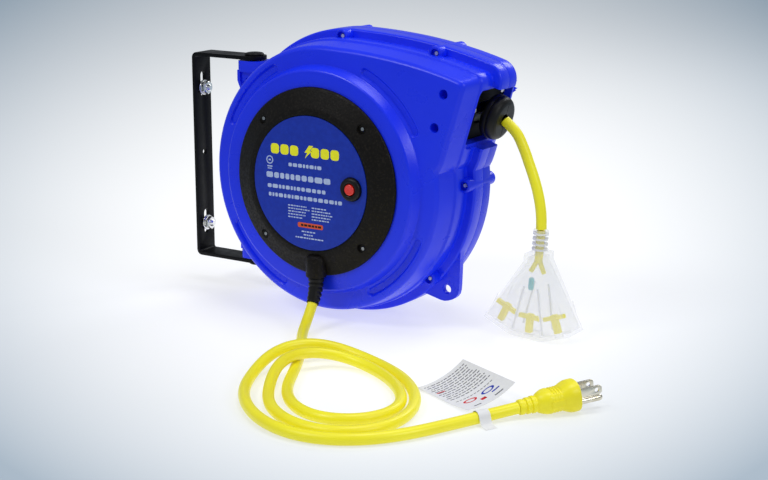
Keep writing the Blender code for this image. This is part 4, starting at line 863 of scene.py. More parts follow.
def rear_shell():
    rings = [
        (circle(8.3 * MM, HALF_DEPTH), 0.3), (circle(16 * MM, HALF_DEPTH), 0.0), (circle(60 * MM, HALF_DEPTH), 0.6),
        (circle(64 * MM, HALF_DEPTH - 0.9 * MM), 0.6), (outline(-19 * MM, HALF_DEPTH - 0.9 * MM), 2.4),
        (outline(-13.5 * MM, HALF_DEPTH - 5 * MM), 2.4), (outline(1 * MM, 26 * MM), 2.0),
        (outline(3.2 * MM, BAND_HALF + 1.4 * MM), 1.0),
        (outline(BAND_STEP - 1.2 * MM, BAND_HALF), 0.5), (outline(BAND_STEP, BAND_HALF - 1.2 * MM), 0.6),
        (outline(BAND_STEP + 0.2 * MM, PART_GAP), 0.25), (outline(BAND_STEP - WALL, PART_GAP), 0.0),
        (outline(BAND_STEP - WALL, BAND_HALF - WALL), 0.0), (outline(0.4 * MM, BAND_HALF - WALL), 0.0),
        (outline(-1.6 * MM, 25 * MM), 0.0), (outline(-15.5 * MM, 47 * MM), 0.0), (outline(-21 * MM, 50 * MM), 0.0),
        (circle(64 * MM, HALF_DEPTH - WALL - 1 * MM), 0.0),
        (circle(16 * MM, HALF_DEPTH - WALL), 0.0), (circle(8.3 * MM, HALF_DEPTH - WALL - 4 * MM), 0.0),
    ]
    skin = rounded_rings([r for r, w in rings], [w * MM for r, w in rings])
    shell = make("rear_half", ring_mesh(bmesh.new(), skin, True), BLUE, "casing", ["rear_shell"])
    for solid in lug_solids(False):
        combine(shell, "UNION", solid)
    combine(shell, "UNION", bosses(False))
    open_mouth(shell, False)
    holes = bmesh.new()
    for x, z in SCREW_SPOTS:
        cylinder(1.9 * MM, -2 * MM, 14 * MM, (0, 1, 0), (x, 0, z), 20, holes)
    combine(shell, "DIFFERENCE", holes)
    combine(shell, "DIFFERENCE", lug_bores(), 30.0)
    shell.data.transform(Matrix.Translation(AXIS))
    return shell


def pan_head(radius, height, mouth=0.42):
    """Screw head on local Z, domed, with a cross recess."""
    bm = turned([(radius, 0), (radius, height * 0.35), (radius * 0.93, height * 0.68), (radius * 0.72, height * 0.9),
                 (radius * 0.4, height), (radius * 0.05, height * 1.02)], (0, 0, 1), segments=32)
    obj = make("head", bm, None, None)
    cross = bmesh.new()
    arm, thick = radius * mouth * 1.35, radius * 0.13
    box((-arm, -thick, height * 0.35), (arm, thick, height * 1.5), cross)
    box((-thick, -arm, height * 0.36), (thick, arm, height * 1.6), cross)
    first = bmesh.new()
    first.from_mesh(obj.data)
    bpy.data.objects.remove(obj, do_unlink=True)
    return first, cross


def screws(name, spots, radius, height, face_y, shank, mat, stands):
    """Crosshead screws facing the front, one object each."""
    for k, (x, z) in enumerate(spots, 1):
        head, cross = pan_head(radius, height)
        turned([(shank[0], 0.0005 * MM), (shank[0], -shank[1])], (0, 0, 1), segments=20, bm=head)
        turn = Matrix.Rotation(math.radians(37 * k + 11), 4, "Z")
        place = Matrix.Translation(AXIS + Vector((x, face_y, z))) @ Matrix.Rotation(math.radians(90), 4, "X") @ turn
        obj = make(f"{name}_{k}", head, mat, "casing", [f"{stands}_{k}"], 40, place)
        cross.transform(place)
        combine(obj, "DIFFERENCE", cross, 40)


# ---------------------------------------------------------------- bracket and wall fasteners

def bracket():
    half = 10.5 * MM
    z0, z1 = BRACKET_Z
    r = 5.0 * MM
    inner = r - BRACKET_T
    outer = [(ARM_X, z0)] + arc((r, z0 + r), r, 270, 180, 14) + arc((r, z1 - r), r, 180, 90, 14) + [(ARM_X, z1)]
    inside = [(ARM_X, z1 - BRACKET_T)] + arc((r, z1 - r), inner, 90, 180, 14) \
        + arc((r, z0 + r), inner, 180, 270, 14) + [(ARM_X, z0 + BRACKET_T)]
    obj = make("wall_bracket", prism(outer + inside, -half, half), POWDER, "mount", ["bracket"])
    ends = bmesh.new()
    cylinder(half, z1 - BRACKET_T, z1, (0, 0, 1), (ARM_X, 0, 0), 64, ends)
    cylinder(half, z0, z0 + BRACKET_T, (0, 0, 1), (ARM_X, 0, 0), 64, ends)
    combine(obj, "UNION", ends)
    holes = bmesh.new()
    for z in BRACKET_Z:
        cylinder(4.3 * MM, z - 8 * MM, z + 8 * MM, (0, 0, 1), (ARM_X, 0, 0), 32, holes)
    for z in mm(-42.3, 80.3):
        shape = arc((0, z + 7.7 * MM), 3.3 * MM, 0, 180, 14) + arc((0, z - 7.7 * MM), 3.3 * MM, 180, 360, 14)
        prism(shape, -6 * MM, 10 * MM, Matrix.Rotation(math.radians(-90), 4, "Z"), holes)
    cylinder(2.6 * MM, -6 * MM, 10 * MM, (1, 0, 0), mm(0, 0, 20.2), 32, holes)
    combine(obj, "DIFFERENCE", holes)
    round_edges(obj, 0.45 * MM, 3, 50)


def wall_fasteners():
    for word, z in (("lower", -43.4 * MM), ("upper", 77.3 * MM)):
        start = BRACKET_T + GAP
        washer = turned([(6.6 * MM, start), (6.6 * MM, start + 1.2 * MM), (3.2 * MM, start + 1.2 * MM),
                         (3.2 * MM, start)],
                        (1, 0, 0), (0, 0, z), 48, None, True, 0.2 * MM)
        make(f"washer_{word}", washer, STEEL, "mount", [f"wall_washer_{word}"])
        first = start + 1.2 * MM + GAP
        nut = turned([(5.7 * MM, first), (5.7 * MM, first + 4.4 * MM)], (1, 0, 0), (0, 0, z), 6)
        obj = make(f"nut_{word}", nut, STEEL, "mount", [f"wall_nut_{word}"], 25)
        crown = turned([(4.9 * MM, first - 0.01 * MM), (5.8 * MM, first + 0.55 * MM), (5.8 * MM, first + 3.85 * MM),
                        (4.9 * MM, first + 4.41 * MM)], (1, 0, 0), (0, 0, z), 48)
        combine(obj, "INTERSECT", crown, 25)
        combine(obj, "DIFFERENCE", cylinder(3.15 * MM, 0, 12 * MM, (1, 0, 0), (0, 0, z), 32), 25)
        profile = [mm(2.4, 0.2), mm(2.9, 0.7)]
        for k in range(12):
            x = (1.0 + 0.8 * k) * MM
            profile += [(2.9 * MM, x), (2.5 * MM, x + 0.4 * MM)]
        profile += [mm(2.9, 10.8), mm(2.1, 11.6)]
        make(f"stud_{word}", turned(profile, (1, 0, 0), (0, 0, z), 32), STEEL, "mount",
             [f"wall_stud_{word}"], 20)


def pivots():
    for word, z, way in (("upper", BRACKET_Z[1], 1), ("lower", BRACKET_Z[0], -1)):
        head = [mm(3.6, -way * 16.2), mm(4, -way * 15.6), (4 * MM, way * GAP), (8.2 * MM, way * GAP),
                mm(8.2, way * 1.2), mm(7.5, way * 2.0), mm(6.0, way * 2.45), mm(3.0, way * 2.6)]
        bolt = turned(head, (0, 0, 1), (ARM_X, 0, z), 64, None, False, 0.25 * MM)
        obj = make(f"pivot_pin_{word}", bolt, POWDER, "mount", [f"pivot_bolt_{word}"])
        socket = cylinder(2.6 * MM, way * 1.0 * MM, way * 3.0 * MM, (0, 0, 1), (ARM_X, 0, z), 6)
        combine(obj, "DIFFERENCE", socket)
        start = -way * (BRACKET_T + 1.2 * MM)
        end = start - way * 12 * MM
        bush = turned([(5.5 * MM, start), (5.5 * MM, end), (4.4 * MM, end), (4.4 * MM, start)], (0, 0, 1),
                      (ARM_X, 0, z), 48, None, True, 0.3 * MM)
        make(f"pivot_sleeve_{word}", bush, NYLON, "casing", [f"pivot_bush_{word}"])


# ---------------------------------------------------------------- cover, label and reset button

def cover():
    front, back = -71.6 * MM, -62.9 * MM
    seat = -70.7 * MM
    profile = [(75.9 * MM, back), (75.9 * MM, back - 1.3 * MM), (75.1 * MM, back - 2.3 * MM), (73.6 * MM,
                                                                                               back - 2.9 * MM),
               (60 * MM, front + 0.5 * MM), (57.0 * MM, front), (54.5 * MM, front), (54.5 * MM, seat), (5 * MM, seat),
               (5 * MM, seat + 2.0 * MM), (54 * MM, seat + 2.0 * MM), (59 * MM, front + 2.8 * MM),
               (73 * MM, back - 0.4 * MM), (73 * MM, back)]
    obj = make("round_cover", turned(profile, segments=192, closed=True, edge=0.35 * MM), TEXTURED, "casing",
               ["cover_ring"])
    hump = turned([mm(6.0, -58.0), mm(7.6, -59.4), mm(8.4, -62), mm(8.4, -74.6),
                   mm(8.1, -75.5), mm(7.4, -75.8)], (0, 0, 1), mm(4, -69.5, 0), 64)
    combine(obj, "UNION", hump)
    holes = bmesh.new()
    for x, z in COVER_SCREWS:
        turned([mm(4.6, -72), mm(3.9, -68.2), mm(3.9, -67.1), mm(2.0, -67.1),
                mm(2.0, -60)], (0, 1, 0), (x, 0, z), 40, holes)
    cylinder(7.8 * MM, -80 * MM, -60 * MM, (0, 1, 0), mm(40, 0, 0), 48, holes)
    combine(obj, "DIFFERENCE", holes)
    below = box((-20 * MM, back, -95 * MM), (30 * MM, back + 20 * MM, -40 * MM))
    combine(obj, "DIFFERENCE", below)
    combine(obj, "DIFFERENCE", cylinder(6.15 * MM, -90 * MM, -64 * MM, (0, 0, 1), mm(4, -69.5, 0), 48), 30)
    obj.data.transform(Matrix.Translation(AXIS))
    disc = make("label_film", turned([mm(54, -72.0), mm(54, -71.0)], segments=192), LABEL, "casing",
                ["label_disc"])
    combine(disc, "DIFFERENCE", cylinder(9.7 * MM, -80 * MM, -60 * MM, (0, 1, 0), mm(40, 0, 0), 64))
    disc.data.transform(Matrix.Translation(AXIS))


def print_bars(name, bars, mat, place, body="casing", depth=0.05 * MM):
    """Thin raised ink: rounded bars given as (x, z, width, height) in mm, standing for printed lines."""
    bm = bmesh.new()
    for x, z, w, h in bars:
        r = min(w, h) * 0.32
        corners = []
        for cx, cz, start in ((1, -1, -90), (1, 1, 0), (-1, 1, 90), (-1, -1, 180)):
            corners += arc(mm((x + cx * (w / 2 - r)), (z + cz * (h / 2 - r))), r * MM, start, start + 90, 4)
        prism(corners, -depth, 0.0, None, bm)
    return make(name, bm, mat, body, (), 30, place)


def label_print():
    """Generic marks in the places of the printed lines; nothing here is lettering."""
    rng = np.random.default_rng(7)
    place = Matrix.Translation(AXIS + Vector(mm(0, -72.0, 0)))

    def words(x0, x1, z, height, low, high, space):
        bars, x = [], x0
        while x < x1 - low:
            width = min(float(rng.uniform(low, high)), x1 - x)
            bars.append((x + width / 2, z, width, height))
            x += width + space
        return bars

    blocks = [(-33.2 + 9.4 * k, 25.2, 8.0, 8.2) for k in range(3)]
    blocks += [(5.8 + 9.4 * k, 25.2, 8.0, 8.2) for k in range(3)]
    print_bars("label_blocks", blocks, INK_YELLOW, place)
    bolt = [(-4.0, 20.0), (-1.6, 24.6), (-4.4, 24.6), (0.2, 30.6), (4.2, 30.6), (0.6, 26.4), (2.8, 26.4)]
    mark = prism([mm(x, z) for x, z in bolt], -0.05 * MM, 0.0)
    make("label_mark", mark, INK_YELLOW, "casing", (), 30, place)
    white = words(-20, 14, 13.6, 2.9, 1.6, 4.4, 0.9)
    white += words(-42, 22, 3.6, 4.6, 2.4, 7.5, 1.2)
    white += words(-41, 17, -5.4, 3.1, 1.8, 5.2, 1.0)
    white += words(-40, 33, -12.4, 3.1, 1.8, 5.2, 1.0)
    for k in range(5):
        white += words(-21, -3 + 3.0 * (k == 1) - 4 * (k == 4), -19.4 - 2.35 * k, 1.0, 0.9, 3.0, 0.6)
        white += words(2, 20 + 3.0 * (k == 2) - 4 * (k == 0), -19.4 - 2.35 * k, 1.0, 0.9, 3.0, 0.6)
    for k, (a, b) in enumerate(((-8, 6), (-6, 4), (-14, 13))):
        white += words(a, b, -39.4 - 2.6 * k, 1.1, 0.9, 3.2, 0.6)
    white += [(-38.5, 10.4, 5.2, 1.0), (-38.5, 8.6, 4.2, 0.8)]
    print_bars("label_lines", white, INK_WHITE, place)
    ring = turned([mm(3.4, 0.0), mm(3.4, -0.05), mm(2.5, -0.05), mm(2.5, 0.0)], (0, 1, 0),
                  mm(-38.5, 0, 15.6), 40, None, True)
    joined(ring, box(mm(-39.6, -0.05, 15.0), mm(-37.4, 0, 16.2)))
    make("label_roundel", ring, INK_WHITE, "casing", (), 30, place)
    print_bars("label_stripe", [(0.6, -34.2, 24.5, 4.0)], INK_ORANGE, place)
    dark = [(x, z, w, h) for x, z, w, h in words(-8.5, 11.5, -34.2, 1.7, 1.2, 3.4, 0.7)]
    print_bars("label_stripe_marks", dark, BLACK, place @ Matrix.Translation(mm(0, -0.05, 0)))


def reset():
    place = AXIS + Vector(mm(40, 0, 0))
    seat = -71.2 * MM
    profile = [mm(9.4, -71.9), mm(9.1, -74.4), mm(7.8, -75.4), mm(5.8, -75.4),
               mm(4.8, -74.6), mm(4.8, -66.0), mm(7.4, -66.0), (7.4 * MM, seat), (9.4 * MM, seat)]
    make("reset_surround", turned(profile, centre=place, segments=96, closed=True, edge=0.5 * MM), BLACK, "casing",
         ["reset_bezel"])
    button = [mm(0.6, -75.6), mm(2.4, -75.75), mm(3.6, -76.0), mm(4.3, -75.4),
              mm(4.4, -74.6), mm(4.4, -66.4), mm(1.6, -66.4), mm(1.6, -64.8)]
    make("reset_cap", turned(button, centre=place, segments=64, edge=0.3 * MM), RED, "button",
         ["reset_button"])


# ---------------------------------------------------------------- strain relief, guide and ball stop

def strain_relief():
    bore = 4.55
    profile = [(bore, 0.2), (6.1, 0.2), (6.3, 0.5)]
    for k in range(5):
        start = 1.2 + 3.9 * k
        radius = 6.3 - 0.22 * k
        profile += [(radius, start), (radius, start + 1.9), (radius - 0.25, start + 2.3), (radius - 0.9, start + 2.6),
                    (radius - 0.9, start + 3.4), (radius - 0.45, start + 3.7)]
    profile += [(5.1, RELIEF_L - 0.4), (4.9, RELIEF_L), (bore, RELIEF_L)]
    rings = []
    for radius, travel in profile:
        point, direction = relief_point(travel)
        place = basis(direction)
        rings.append([(point + place @ Vector((radius * math.cos(a), radius * math.sin(a), 0))) * MM
                      for a in (2 * math.pi * k / 48 for k in range(48))])
    make("cord_boot", ring_mesh(bmesh.new(), rings, True), RUBBER, "casing", ["strain_relief"], 50)


def mouth_frame():
    return Matrix.Translation(MOUTH_CENTRE) @ Matrix.Rotation(MOUTH_TILT, 4, "Y")


def plate_with_slot(outer, inner, x0, x1, edge):
    """Plate across the mouth with a slot; outer and inner are (half width, half height, corner)."""
    bm = ring_mesh(bmesh.new(), [[Vector((x, y, z)) for y, z in full_rounded(*outer)] for x in (x0, x1)])
    obj = make("plate", bevel(bm, edge, 2, 50), None, None)
    slot_bm = ring_mesh(bmesh.new(), [[Vector((x, y, z)) for y, z in full_rounded(*inner)] for x in (x0 - 0.01,
                                                                                                     x1 + 0.01)])
    combine(obj, "DIFFERENCE", slot_bm)
    done = bmesh.new()
    done.from_mesh(obj.data)
    bpy.data.objects.remove(obj, do_unlink=True)
    return done


def outlet():
    place = mouth_frame()
    plate = plate_with_slot(mm(27.5, 21.5, 3.0), mm(12, 9, 4.0), -7.5 * MM, -4.5 * MM, 0.5 * MM)
    guide = make("guide_plate", plate, GUIDE_BLACK, "casing", ["guide_frame"], 35, place)
    heads = bmesh.new()
    for y, z in ((-22.5, 15.5), (-22.5, -15.5), (22.5, 15.5), (22.5, -15.5), (-16.0, 3.0)):
        spot = Vector(mm(-4.5, y, z))
        turned([mm(2.3, 0), mm(2.3, 0.7), mm(1.7, 1.3), mm(0.3, 1.5)], (1, 0, 0), spot, 24, heads)
    make("guide_rivets", heads, ZINC, "casing", (), 40, place)
    rollers = (("upper", "top", (-12.2, 0, 8.95), (0, 1, 0), 20), ("lower", "bottom", (-12.2, 0, -8.95), (0, 1, 0), 20),
               ("front", "left", (-20.8, -8.95, 0), (0, 0, 1), 16), ("rear", "right", (-20.8, 8.95, 0), (0, 0, 1), 16))
    for word, body, spot, axis, half in rollers:
        profile = [(2.0, -half), (3.4, -half), (4.0, -half + 0.8), (4.0, -half + 2.4), (3.7, -half + 3.2), (3.7,
                                                                                                            half - 3.2),
                   (4.0, half - 2.4), (4.0, half - 0.8), (3.4, half), (2.0, half)]
        roller = turned([mm(r, h) for r, h in profile], axis, Vector(spot) * MM, 48)
        make(f"roller_{word}", roller, NYLON, f"roller_{body}", [f"guide_roller_{word}"], 35, place)
    bore = CORD_R + GAP
    rear = [(bore, 1.4 * MM), mm(13.2, 1.4), mm(15.6, 1.9), mm(17.2, 3.2), mm(18, 5.4),
            mm(18, 8.2), (bore, 8.2 * MM)]
    front = [(bore, 8.5 * MM), mm(17.7, 8.5), mm(17.7, 10.6), mm(17.3, 12.2), mm(16.4, 13.8),
             mm(15.0, 15.0), mm(13.0, 15.6), mm(5.6, 15.6), (bore, 14.9 * MM)]
    make("ball_stop_back", turned(rear, (1, 0, 0), segments=96, closed=True, edge=0.35 * MM), BLACK, "casing",
         ["ball_stop_inner"], 35, place)
    nose = make("ball_stop_front", turned(front, (1, 0, 0), segments=96, closed=True, edge=0.35 * MM), BLACK, "casing",
                ["ball_stop_outer"], 35)
    combine(nose, "DIFFERENCE", box(mm(15.2, -0.25, -20), mm(17, 0.25, 20)))
    nose.data.transform(place)


# ---------------------------------------------------------------- plug

def plug():
    place = Matrix.Translation(PLUG_START) @ PLUG_WAY.to_track_quat("Z", "Y").to_matrix().to_4x4()
    # (width, depth, height along the plug, roundness) of each section, in mm
    sections = [(4.9, 4.9, 0.0, 2.0), (5.3, 5.3, 0.4, 2.0)]
    for k in range(3):
        z = 1.4 + 4.0 * k
        r = 5.4 + 0.35 * k
        sections += [(r, r, z, 2.0), (r, r, z + 2.0, 2.0), (r - 0.8, r - 0.8, z + 2.5, 2.0), (r - 0.8, r - 0.8,
                                                                                              z + 3.5, 2.0)]
    sections += [(6.4, 6.6, 13.8, 2.1), (7.6, 7.6, 16.2, 2.3), (8.9, 8.2, 19.0, 2.6), (9.3, 8.3, 21.5, 2.8)]
    for k in range(4):
        z = 22.6 + 2.1 * k
        sections += [(9.2, 8.2, z, 2.8), (9.2, 7.5, z + 0.5, 2.8), (9.2, 7.5, z + 1.2, 2.8), (9.2, 8.2, z + 1.7, 2.8)]
    sections += [(9.4, 8.6, 31.6, 2.8), (10.3, 9.9, 34.2, 2.7), (10.9, 10.7, 36.4, 2.6), (11.0, 11.0, 38.0, 2.5),
                 (11.0, 11.0, 42.0, 2.5), (10.7, 10.7, 42.8, 2.5), (10.2, 10.2, 43.0, 2.5)]
    rings = []
    for w, d, z, power in sections:
        ring = []
        for k in range(72):
            a = 2 * math.pi * k / 72
            c, s = math.cos(a), math.sin(a)
            ring.append(Vector((math.copysign(abs(c) ** (2 / power), c) * w,
                                math.copysign(abs(s) ** (2 / power), s) * d, z)) * MM)
        rings.append(ring)
    body = make("plug_grip", ring_mesh(bmesh.new(), rings), MOULDED_YELLOW, "casing", ["plug_body"], 45)
    for way in (-1, 1):
        ridge = box((way * 9.0 * MM - 0.7 * MM, -2.0 * MM, 21 * MM), (way * 9.0 * MM + 0.7 * MM, 2.0 * MM, 31.0 * MM))
        combine(body, "UNION", bevel(ridge, 0.5 * MM, 3), 40)
    body.data.transform(place)
    for name, x in (("plug_blade_live", -BLADE_HALF), ("plug_blade_neutral", BLADE_HALF)):
        outline = [(-3.15, 0), (3.15, 0), (3.15, 14.6), (2.3, 16.2), (1.2, 16.5), (-1.2, 16.5), (-2.3, 16.2),
                   (-3.15, 14.6)]
        blade = prism([mm(u, v) for u, v in outline], -0.75 * MM, 0.75 * MM, Matrix.Rotation(math.radians(90), 4, "Z"))
        obj = make(name.replace("plug_", ""), blade, PLATED, "casing", [name], 30)
        combine(obj, "DIFFERENCE", cylinder(1.5 * MM, -2 * MM, 2 * MM, (1, 0, 0), mm(0, 0, 12.6), 24))
        round_edges(obj, 0.22 * MM, 2, 50)
        obj.data.transform(place @ Matrix.Translation(mm(x, 2.5, 43.3)))
    pin = turned([mm(2.4, 0), mm(2.4, 17.2), mm(2.0, 18.7), mm(1.2, 19.4), mm(0.3, 19.6)],
                 (0, 0, 1), mm(0, -6.0, 43.3), 40)
    make("ground_pin", pin, PLATED, "casing", ["plug_ground_pin"], 40, place)


# ---------------------------------------------------------------- three-way tap

TAP_ANGLES = (-22, 0, 22)
TAP_REACH = 72                                  # from the fan's apex to its outlet faces, mm


def fan(reach, face, neck, top, shoulder):
    points = [(-neck, top), (-neck, shoulder)]
    for angle in TAP_ANGLES:
        a = math.radians(angle)
        x, z = reach * math.sin(a), -14.0 - reach * math.cos(a)
        points += [(x - math.cos(a) * face, z - math.sin(a) * face), (x + math.cos(a) * face, z + math.sin(a) * face)]
    points += [(neck, shoulder), (neck, top)]
    return [mm(x, z) for x, z in points]


def tap_socket_frame(angle, reach):
    a = math.radians(angle)
    spot = Vector((reach * math.sin(a), 0, -14.0 - reach * math.cos(a))) * MM
    return Matrix.Translation(spot) @ Matrix.Rotation(-a, 4, "Y")


def socket_slots():
    bm = bmesh.new()
    for angle in TAP_ANGLES:
        m = tap_socket_frame(angle, TAP_REACH)
        for y in (-BLADE_HALF, BLADE_HALF):
            box(mm(-3.6, y - 1.1, -2), mm(3.6, y + 1.1, 6), bm, m)
    return bm


def tap():
    place = Matrix.Translation(TAP_TOP) @ Matrix.Rotation(TAP_LEAN, 4, "Y")
    hull = bevel(prism(fan(TAP_REACH, 12.2, 7.0, -18, -24), -12 * MM, 12 * MM), 1.6 * MM, 4, 50)
    shell = make("tap_cover", hull, CLEAR, "casing", ["tap_body"], 40)
    neck = [mm(6.0, 0)]
    for k in range(4):
        z = -1.6 - 4.2 * k
        neck += [mm(6.3, z), mm(6.3, z - 2.0), mm(5.5, z - 2.6), mm(5.5, z - 3.6)]
    neck += [mm(7.4, -19), mm(8.0, -24)]
    combine(shell, "UNION", turned(neck, (0, 0, 1), segments=64, edge=0.3 * MM))
    ribs = bmesh.new()
    for angle in TAP_ANGLES:
        m = tap_socket_frame(angle, TAP_REACH)
        for y in (-11.6, 11.6):
            for x in (-9.6, -3.2, 3.2, 9.6):
                rib = box((x * MM - 0.5 * MM, y * MM - 0.3 * MM, 3 * MM), (x * MM + 0.5 * MM, y * MM + 0.3 * MM,
                                                                           (34 - abs(x)) * MM))
                rib.transform(m)
                joined(ribs, rib)
    combine(shell, "UNION", ribs, 40)
    combine(shell, "DIFFERENCE", prism(fan(69.2, 11.2, 4.6, -21, -24.5), -9.4 * MM, 9.4 * MM))
    combine(shell, "DIFFERENCE", cylinder(3.6 * MM, 2 * MM, -27 * MM, (0, 0, 1)))
    combine(shell, "DIFFERENCE", socket_slots(), 40)
    shell.data.transform(place)
    core = make("tap_cord_end", turned([mm(3.2, -0.6), mm(3.2, -26), mm(2.4, -26.6)], (0, 0, 1), segments=48),
                MOULDED_YELLOW, "casing", ["tap_core"], 40)
    for k, angle in enumerate(TAP_ANGLES, 1):
        m = tap_socket_frame(angle, 52.6)
        if k != 2:
            top = Vector(mm(0, 0, -23))
            end = m @ Vector((0, 0, 0))
            combine(core, "UNION", cylinder(1.9 * MM, 0, 13 * MM, tuple(end - top), tuple(top), 32), 40)
        block = bevel(box(mm(-2.3, -8.6, -15.6), mm(2.3, -3.6, -0.8)), 0.8 * MM, 3)
        piece = make(f"tap_contact_{k}", block, MOULDED_YELLOW, "casing", [f"tap_socket_{k}"], 40)
        bar = bevel(box(mm(-9.3, -8.0, -4.6), mm(9.3, -4.4, -1.6)), 0.8 * MM, 3)
        combine(piece, "UNION", bar, 40)
        piece.data.transform(place @ m)
    core.data.transform(place)
    rings = bmesh.new()
    for k in range(4):
        z = -2.2 - 4.2 * k
        turned([mm(4.1, z), mm(6.1, z), mm(6.1, z - 1.2), mm(4.1, z - 1.2)], (0, 0, 1),
               segments=48, bm=rings, closed=True)
    for angle in (-11, 11):
        m = tap_socket_frame(angle, 69.4)
        for y in (-9.3, 9.3):
            fin = box(mm(-0.8, y - 0.5, 0.5), mm(0.8, y + 0.5, 38))
            fin.transform(m)
            joined(rings, fin)
    make("tap_ribs", rings, FROSTED, "casing", (), 40, place)
    bulb = turned([mm(0.4, -5), mm(1.5, -4.7), mm(2.2, -3.6), mm(2.2, 4), mm(1.4, 5)],
                  (0, 0, 1), mm(-1.5, -6.2, -43), 32, edge=0.3 * MM)
    make("tap_neon", bulb, LAMP, "casing", ["tap_lamp"], 40, place)


# ---------------------------------------------------------------- tag

TAG_WIDE, TAG_TALL = 62.0 * MM, 44.0 * MM
TAG_THICK = 0.22 * MM
TAG_BEND = 66.0 * MM                            # radius that the sheet is bent up to
TAG_MIDDLE = Vector((357, -150, -94.7)) * MM
TAG_TURN = math.radians(-24)
STRAP_SPOT = (0.394, -0.193)                    # where the strap crosses the lead-in cord


def tag():
    """Printed tag: a thin sheet on the floor, its far edge bent up."""
    wide, tall, bend = TAG_WIDE, TAG_TALL, TAG_BEND
    columns, rows = 60, 44
    place = Matrix.Translation(TAG_MIDDLE) @ Matrix.Rotation(TAG_TURN, 4, "Z")

    def spot(u, v, lift):
        """Point of the sheet, its far edge bent up off the floor and its outer end a little curled."""
        turn = v * tall / bend
        curl = 1.8 * MM * max(0.0, (u - 0.55) / 0.45) ** 2 * (1 - v)
        rise = bend * (1 - math.cos(turn)) + curl + 0.15 * MM + lift
        return ((u - 0.5) * wide, bend * math.sin(turn) - tall / 2, rise)

    bm = bmesh.new()
    grids = []
    for lift in (0.0, TAG_THICK):
        grid = []
        for i in range(columns + 1):
            for j in range(rows + 1):
                u, v = i / columns, j / rows
                grid.append(bm.verts.new(spot(u, v, lift)))
        grids.append(grid)
    step = rows + 1
    for g, grid in enumerate(grids):
        for i in range(columns):
            for j in range(rows):
                quad = [grid[i * step + j], grid[(i + 1) * step + j], grid[(i + 1) * step + j + 1],
                        grid[i * step + j + 1]]
                bm.faces.new(quad if g else quad[::-1])
    rim = [i * step for i in range(columns + 1)] + [columns * step + j for j in range(1, rows + 1)]
    rim += [i * step + rows for i in range(columns - 1, -1, -1)] + [j for j in range(rows - 1, 0, -1)]
    for a, b in zip(rim, rim[1:] + rim[:1]):
        bm.faces.new((grids[0][a], grids[0][b], grids[1][b], grids[1][a]))
    obj = make("tag_sheet", bm, PAPER, "casing", ["tag"], 50, place)
    rng = np.random.default_rng(3)
    marks = {"tag_lines": (INK_GREY, []), "tag_red_marks": (INK_RED, []), "tag_blue_marks": (LABEL, [])}
    for k in range(11):
        u = 0.07 + 0.05 * k
        v = 0.08 + 0.02 * (k % 3)
        while v < 0.90:
            h = float(rng.uniform(0.03, 0.11))
            marks["tag_lines"][1].append((u, v, 0.015, min(h, 0.93 - v)))
            v += h + 0.02
    marks["tag_lines"][1].extend([(0.66, 0.12 + 0.07 * k, 0.012, 0.05) for k in range(11)])
    marks["tag_lines"][1].extend([(0.92, 0.2, 0.02, 0.14), (0.92, 0.62, 0.02, 0.18)])
    marks["tag_red_marks"][1].extend([(0.83, 0.42, 0.05, 0.10), (0.30, 0.10, 0.02, 0.16)])
    marks["tag_blue_marks"][1].extend([(0.83, 0.66, 0.02, 0.16)])
    ovals = (("tag_red_oval", INK_RED, 0.76, 0.30), ("tag_blue_oval", LABEL, 0.76, 0.66))
    for name, mat, cu, cv in ovals:
        ring = bmesh.new()
        loops = []
        for grow, lift in ((1.0, -0.09), (1.0, -0.05), (0.66, -0.05), (0.66, -0.09)):
            loop = []
            for k in range(32):
                a = 2 * math.pi * k / 32
                u, v = cu + 0.045 * grow * math.cos(a), cv + 0.13 * grow * math.sin(a)
                loop.append(Vector(spot(u, v, (lift + 0.3) * MM)))
            loops.append(loop)
        make(name, ring_mesh(ring, loops, True), mat, "casing", (), 50, place)
    for name, (mat, bars) in marks.items():
        ink = bmesh.new()
        for u, v, w, h in bars:
            n = max(1, int(h * 60))
            for k in range(n):
                va, vb = v + h * k / n, v + h * (k + 1) / n
                corners = [(u, va), (u + w, va), (u + w, vb), (u, vb)]
                low = [ink.verts.new(spot(a, b, 0.21 * MM)) for a, b in corners]
                high = [ink.verts.new((p.co.x, p.co.y, p.co.z + 0.04 * MM)) for p in low]
                ink.faces.new(high)
                ink.faces.new(low[::-1])
                for a in range(4):
                    b = (a + 1) % 4
                    ink.faces.new((low[a], low[b], high[b], high[a]))
        make(name, ink, mat, "casing", (), 50, place)
    return obj, (wide, tall)


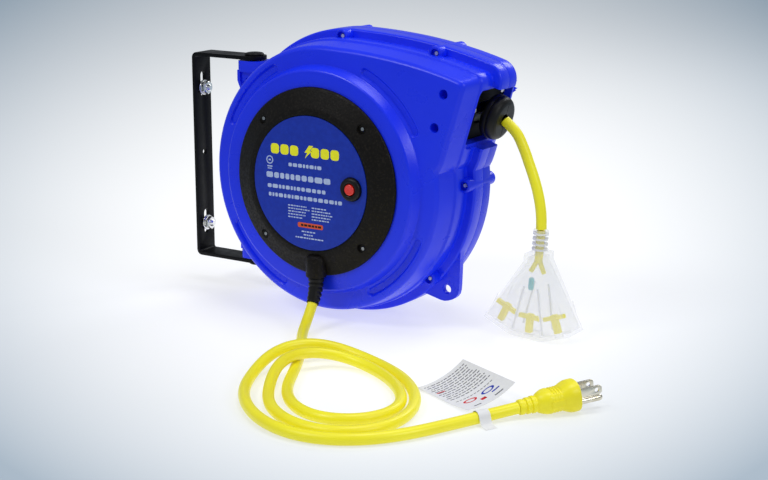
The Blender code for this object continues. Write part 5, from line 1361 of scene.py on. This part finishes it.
def tag_strap(points):
    """Paper strap that loops over the lead-in cord next to the tag and ends in a short tab."""
    near = min(range(len(points)), key=lambda k: math.hypot(points[k][0] - STRAP_SPOT[0], points[k][1] - STRAP_SPOT[1]))
    along = Vector(points[near + 1]) - Vector(points[near - 1])
    along.z = 0
    along.normalize()
    side = along.cross(Vector((0, 0, 1)))
    ground = FLOOR_Z + 0.3 * MM - points[near][2]
    path = [(-15.0 * MM, ground + 1.6 * MM), (-9.5 * MM, ground + 1.9 * MM), mm(-6.6, -1.5)]
    path += [(r[0], r[1]) for r in arc((0, 0), 4.75 * MM, 160, 10, 14)]
    path += [mm(6.0, -2.6), (8.0 * MM, ground + 0.5 * MM), (13.0 * MM, ground)]
    rings = []
    for travel in mm(-4.5, 4.5):
        centre = Vector(points[near]) + along * travel
        top = [centre + side * s + Vector((0, 0, z + 0.2 * MM)) for s, z in path]
        rings.append(top + [p - Vector(mm(0, 0, 0.2)) for p in reversed(top)])
    make("tag_strap", ring_mesh(bmesh.new(), rings), PAPER, "casing", (), 50)


# ---------------------------------------------------------------- pieces kept from the CAD model

KEPT = {
    "axle": STEEL, "front_carrier": GREY, "drum_hub": GREY, "drum_flange_front": GREY, "drum_flange_rear": GREY,
    "wound_cord": YELLOW, "ratchet_ring": NYLON, "slip_ring": BRASS, "brush_block": BLACK, "spring_case": STEEL,
    "mainspring": SPRING, "pawl": NYLON, "pawl_pin": STEEL, "breaker_body": BLACK,
}


def repaint():
    for name, mat in KEPT.items():
        node = NODES[name]
        if not node.material_slots:
            node.data.materials.append(mat)
        for slot in node.material_slots:
            slot.material = mat


camera()
floor()
studio()
lead, outlet_line = cords()
repaint()
front_shell()
rear_shell()
screws("case_bolt", SCREW_SPOTS, 3.5 * MM, 2.4 * MM, HEAD_Y, mm(1.5, 31), ZINC, "case_screw")
screws("cover_bolt", COVER_SCREWS, 3.5 * MM, 1.6 * MM, -67.4 * MM, mm(1.4, 10), DARK_STEEL,
       "cover_screw")
bracket()
wall_fasteners()
pivots()
cover()
label_print()
reset()
strain_relief()
outlet()
plug()
tap()
sheet, flat = tag()
tag_strap(lead[1])
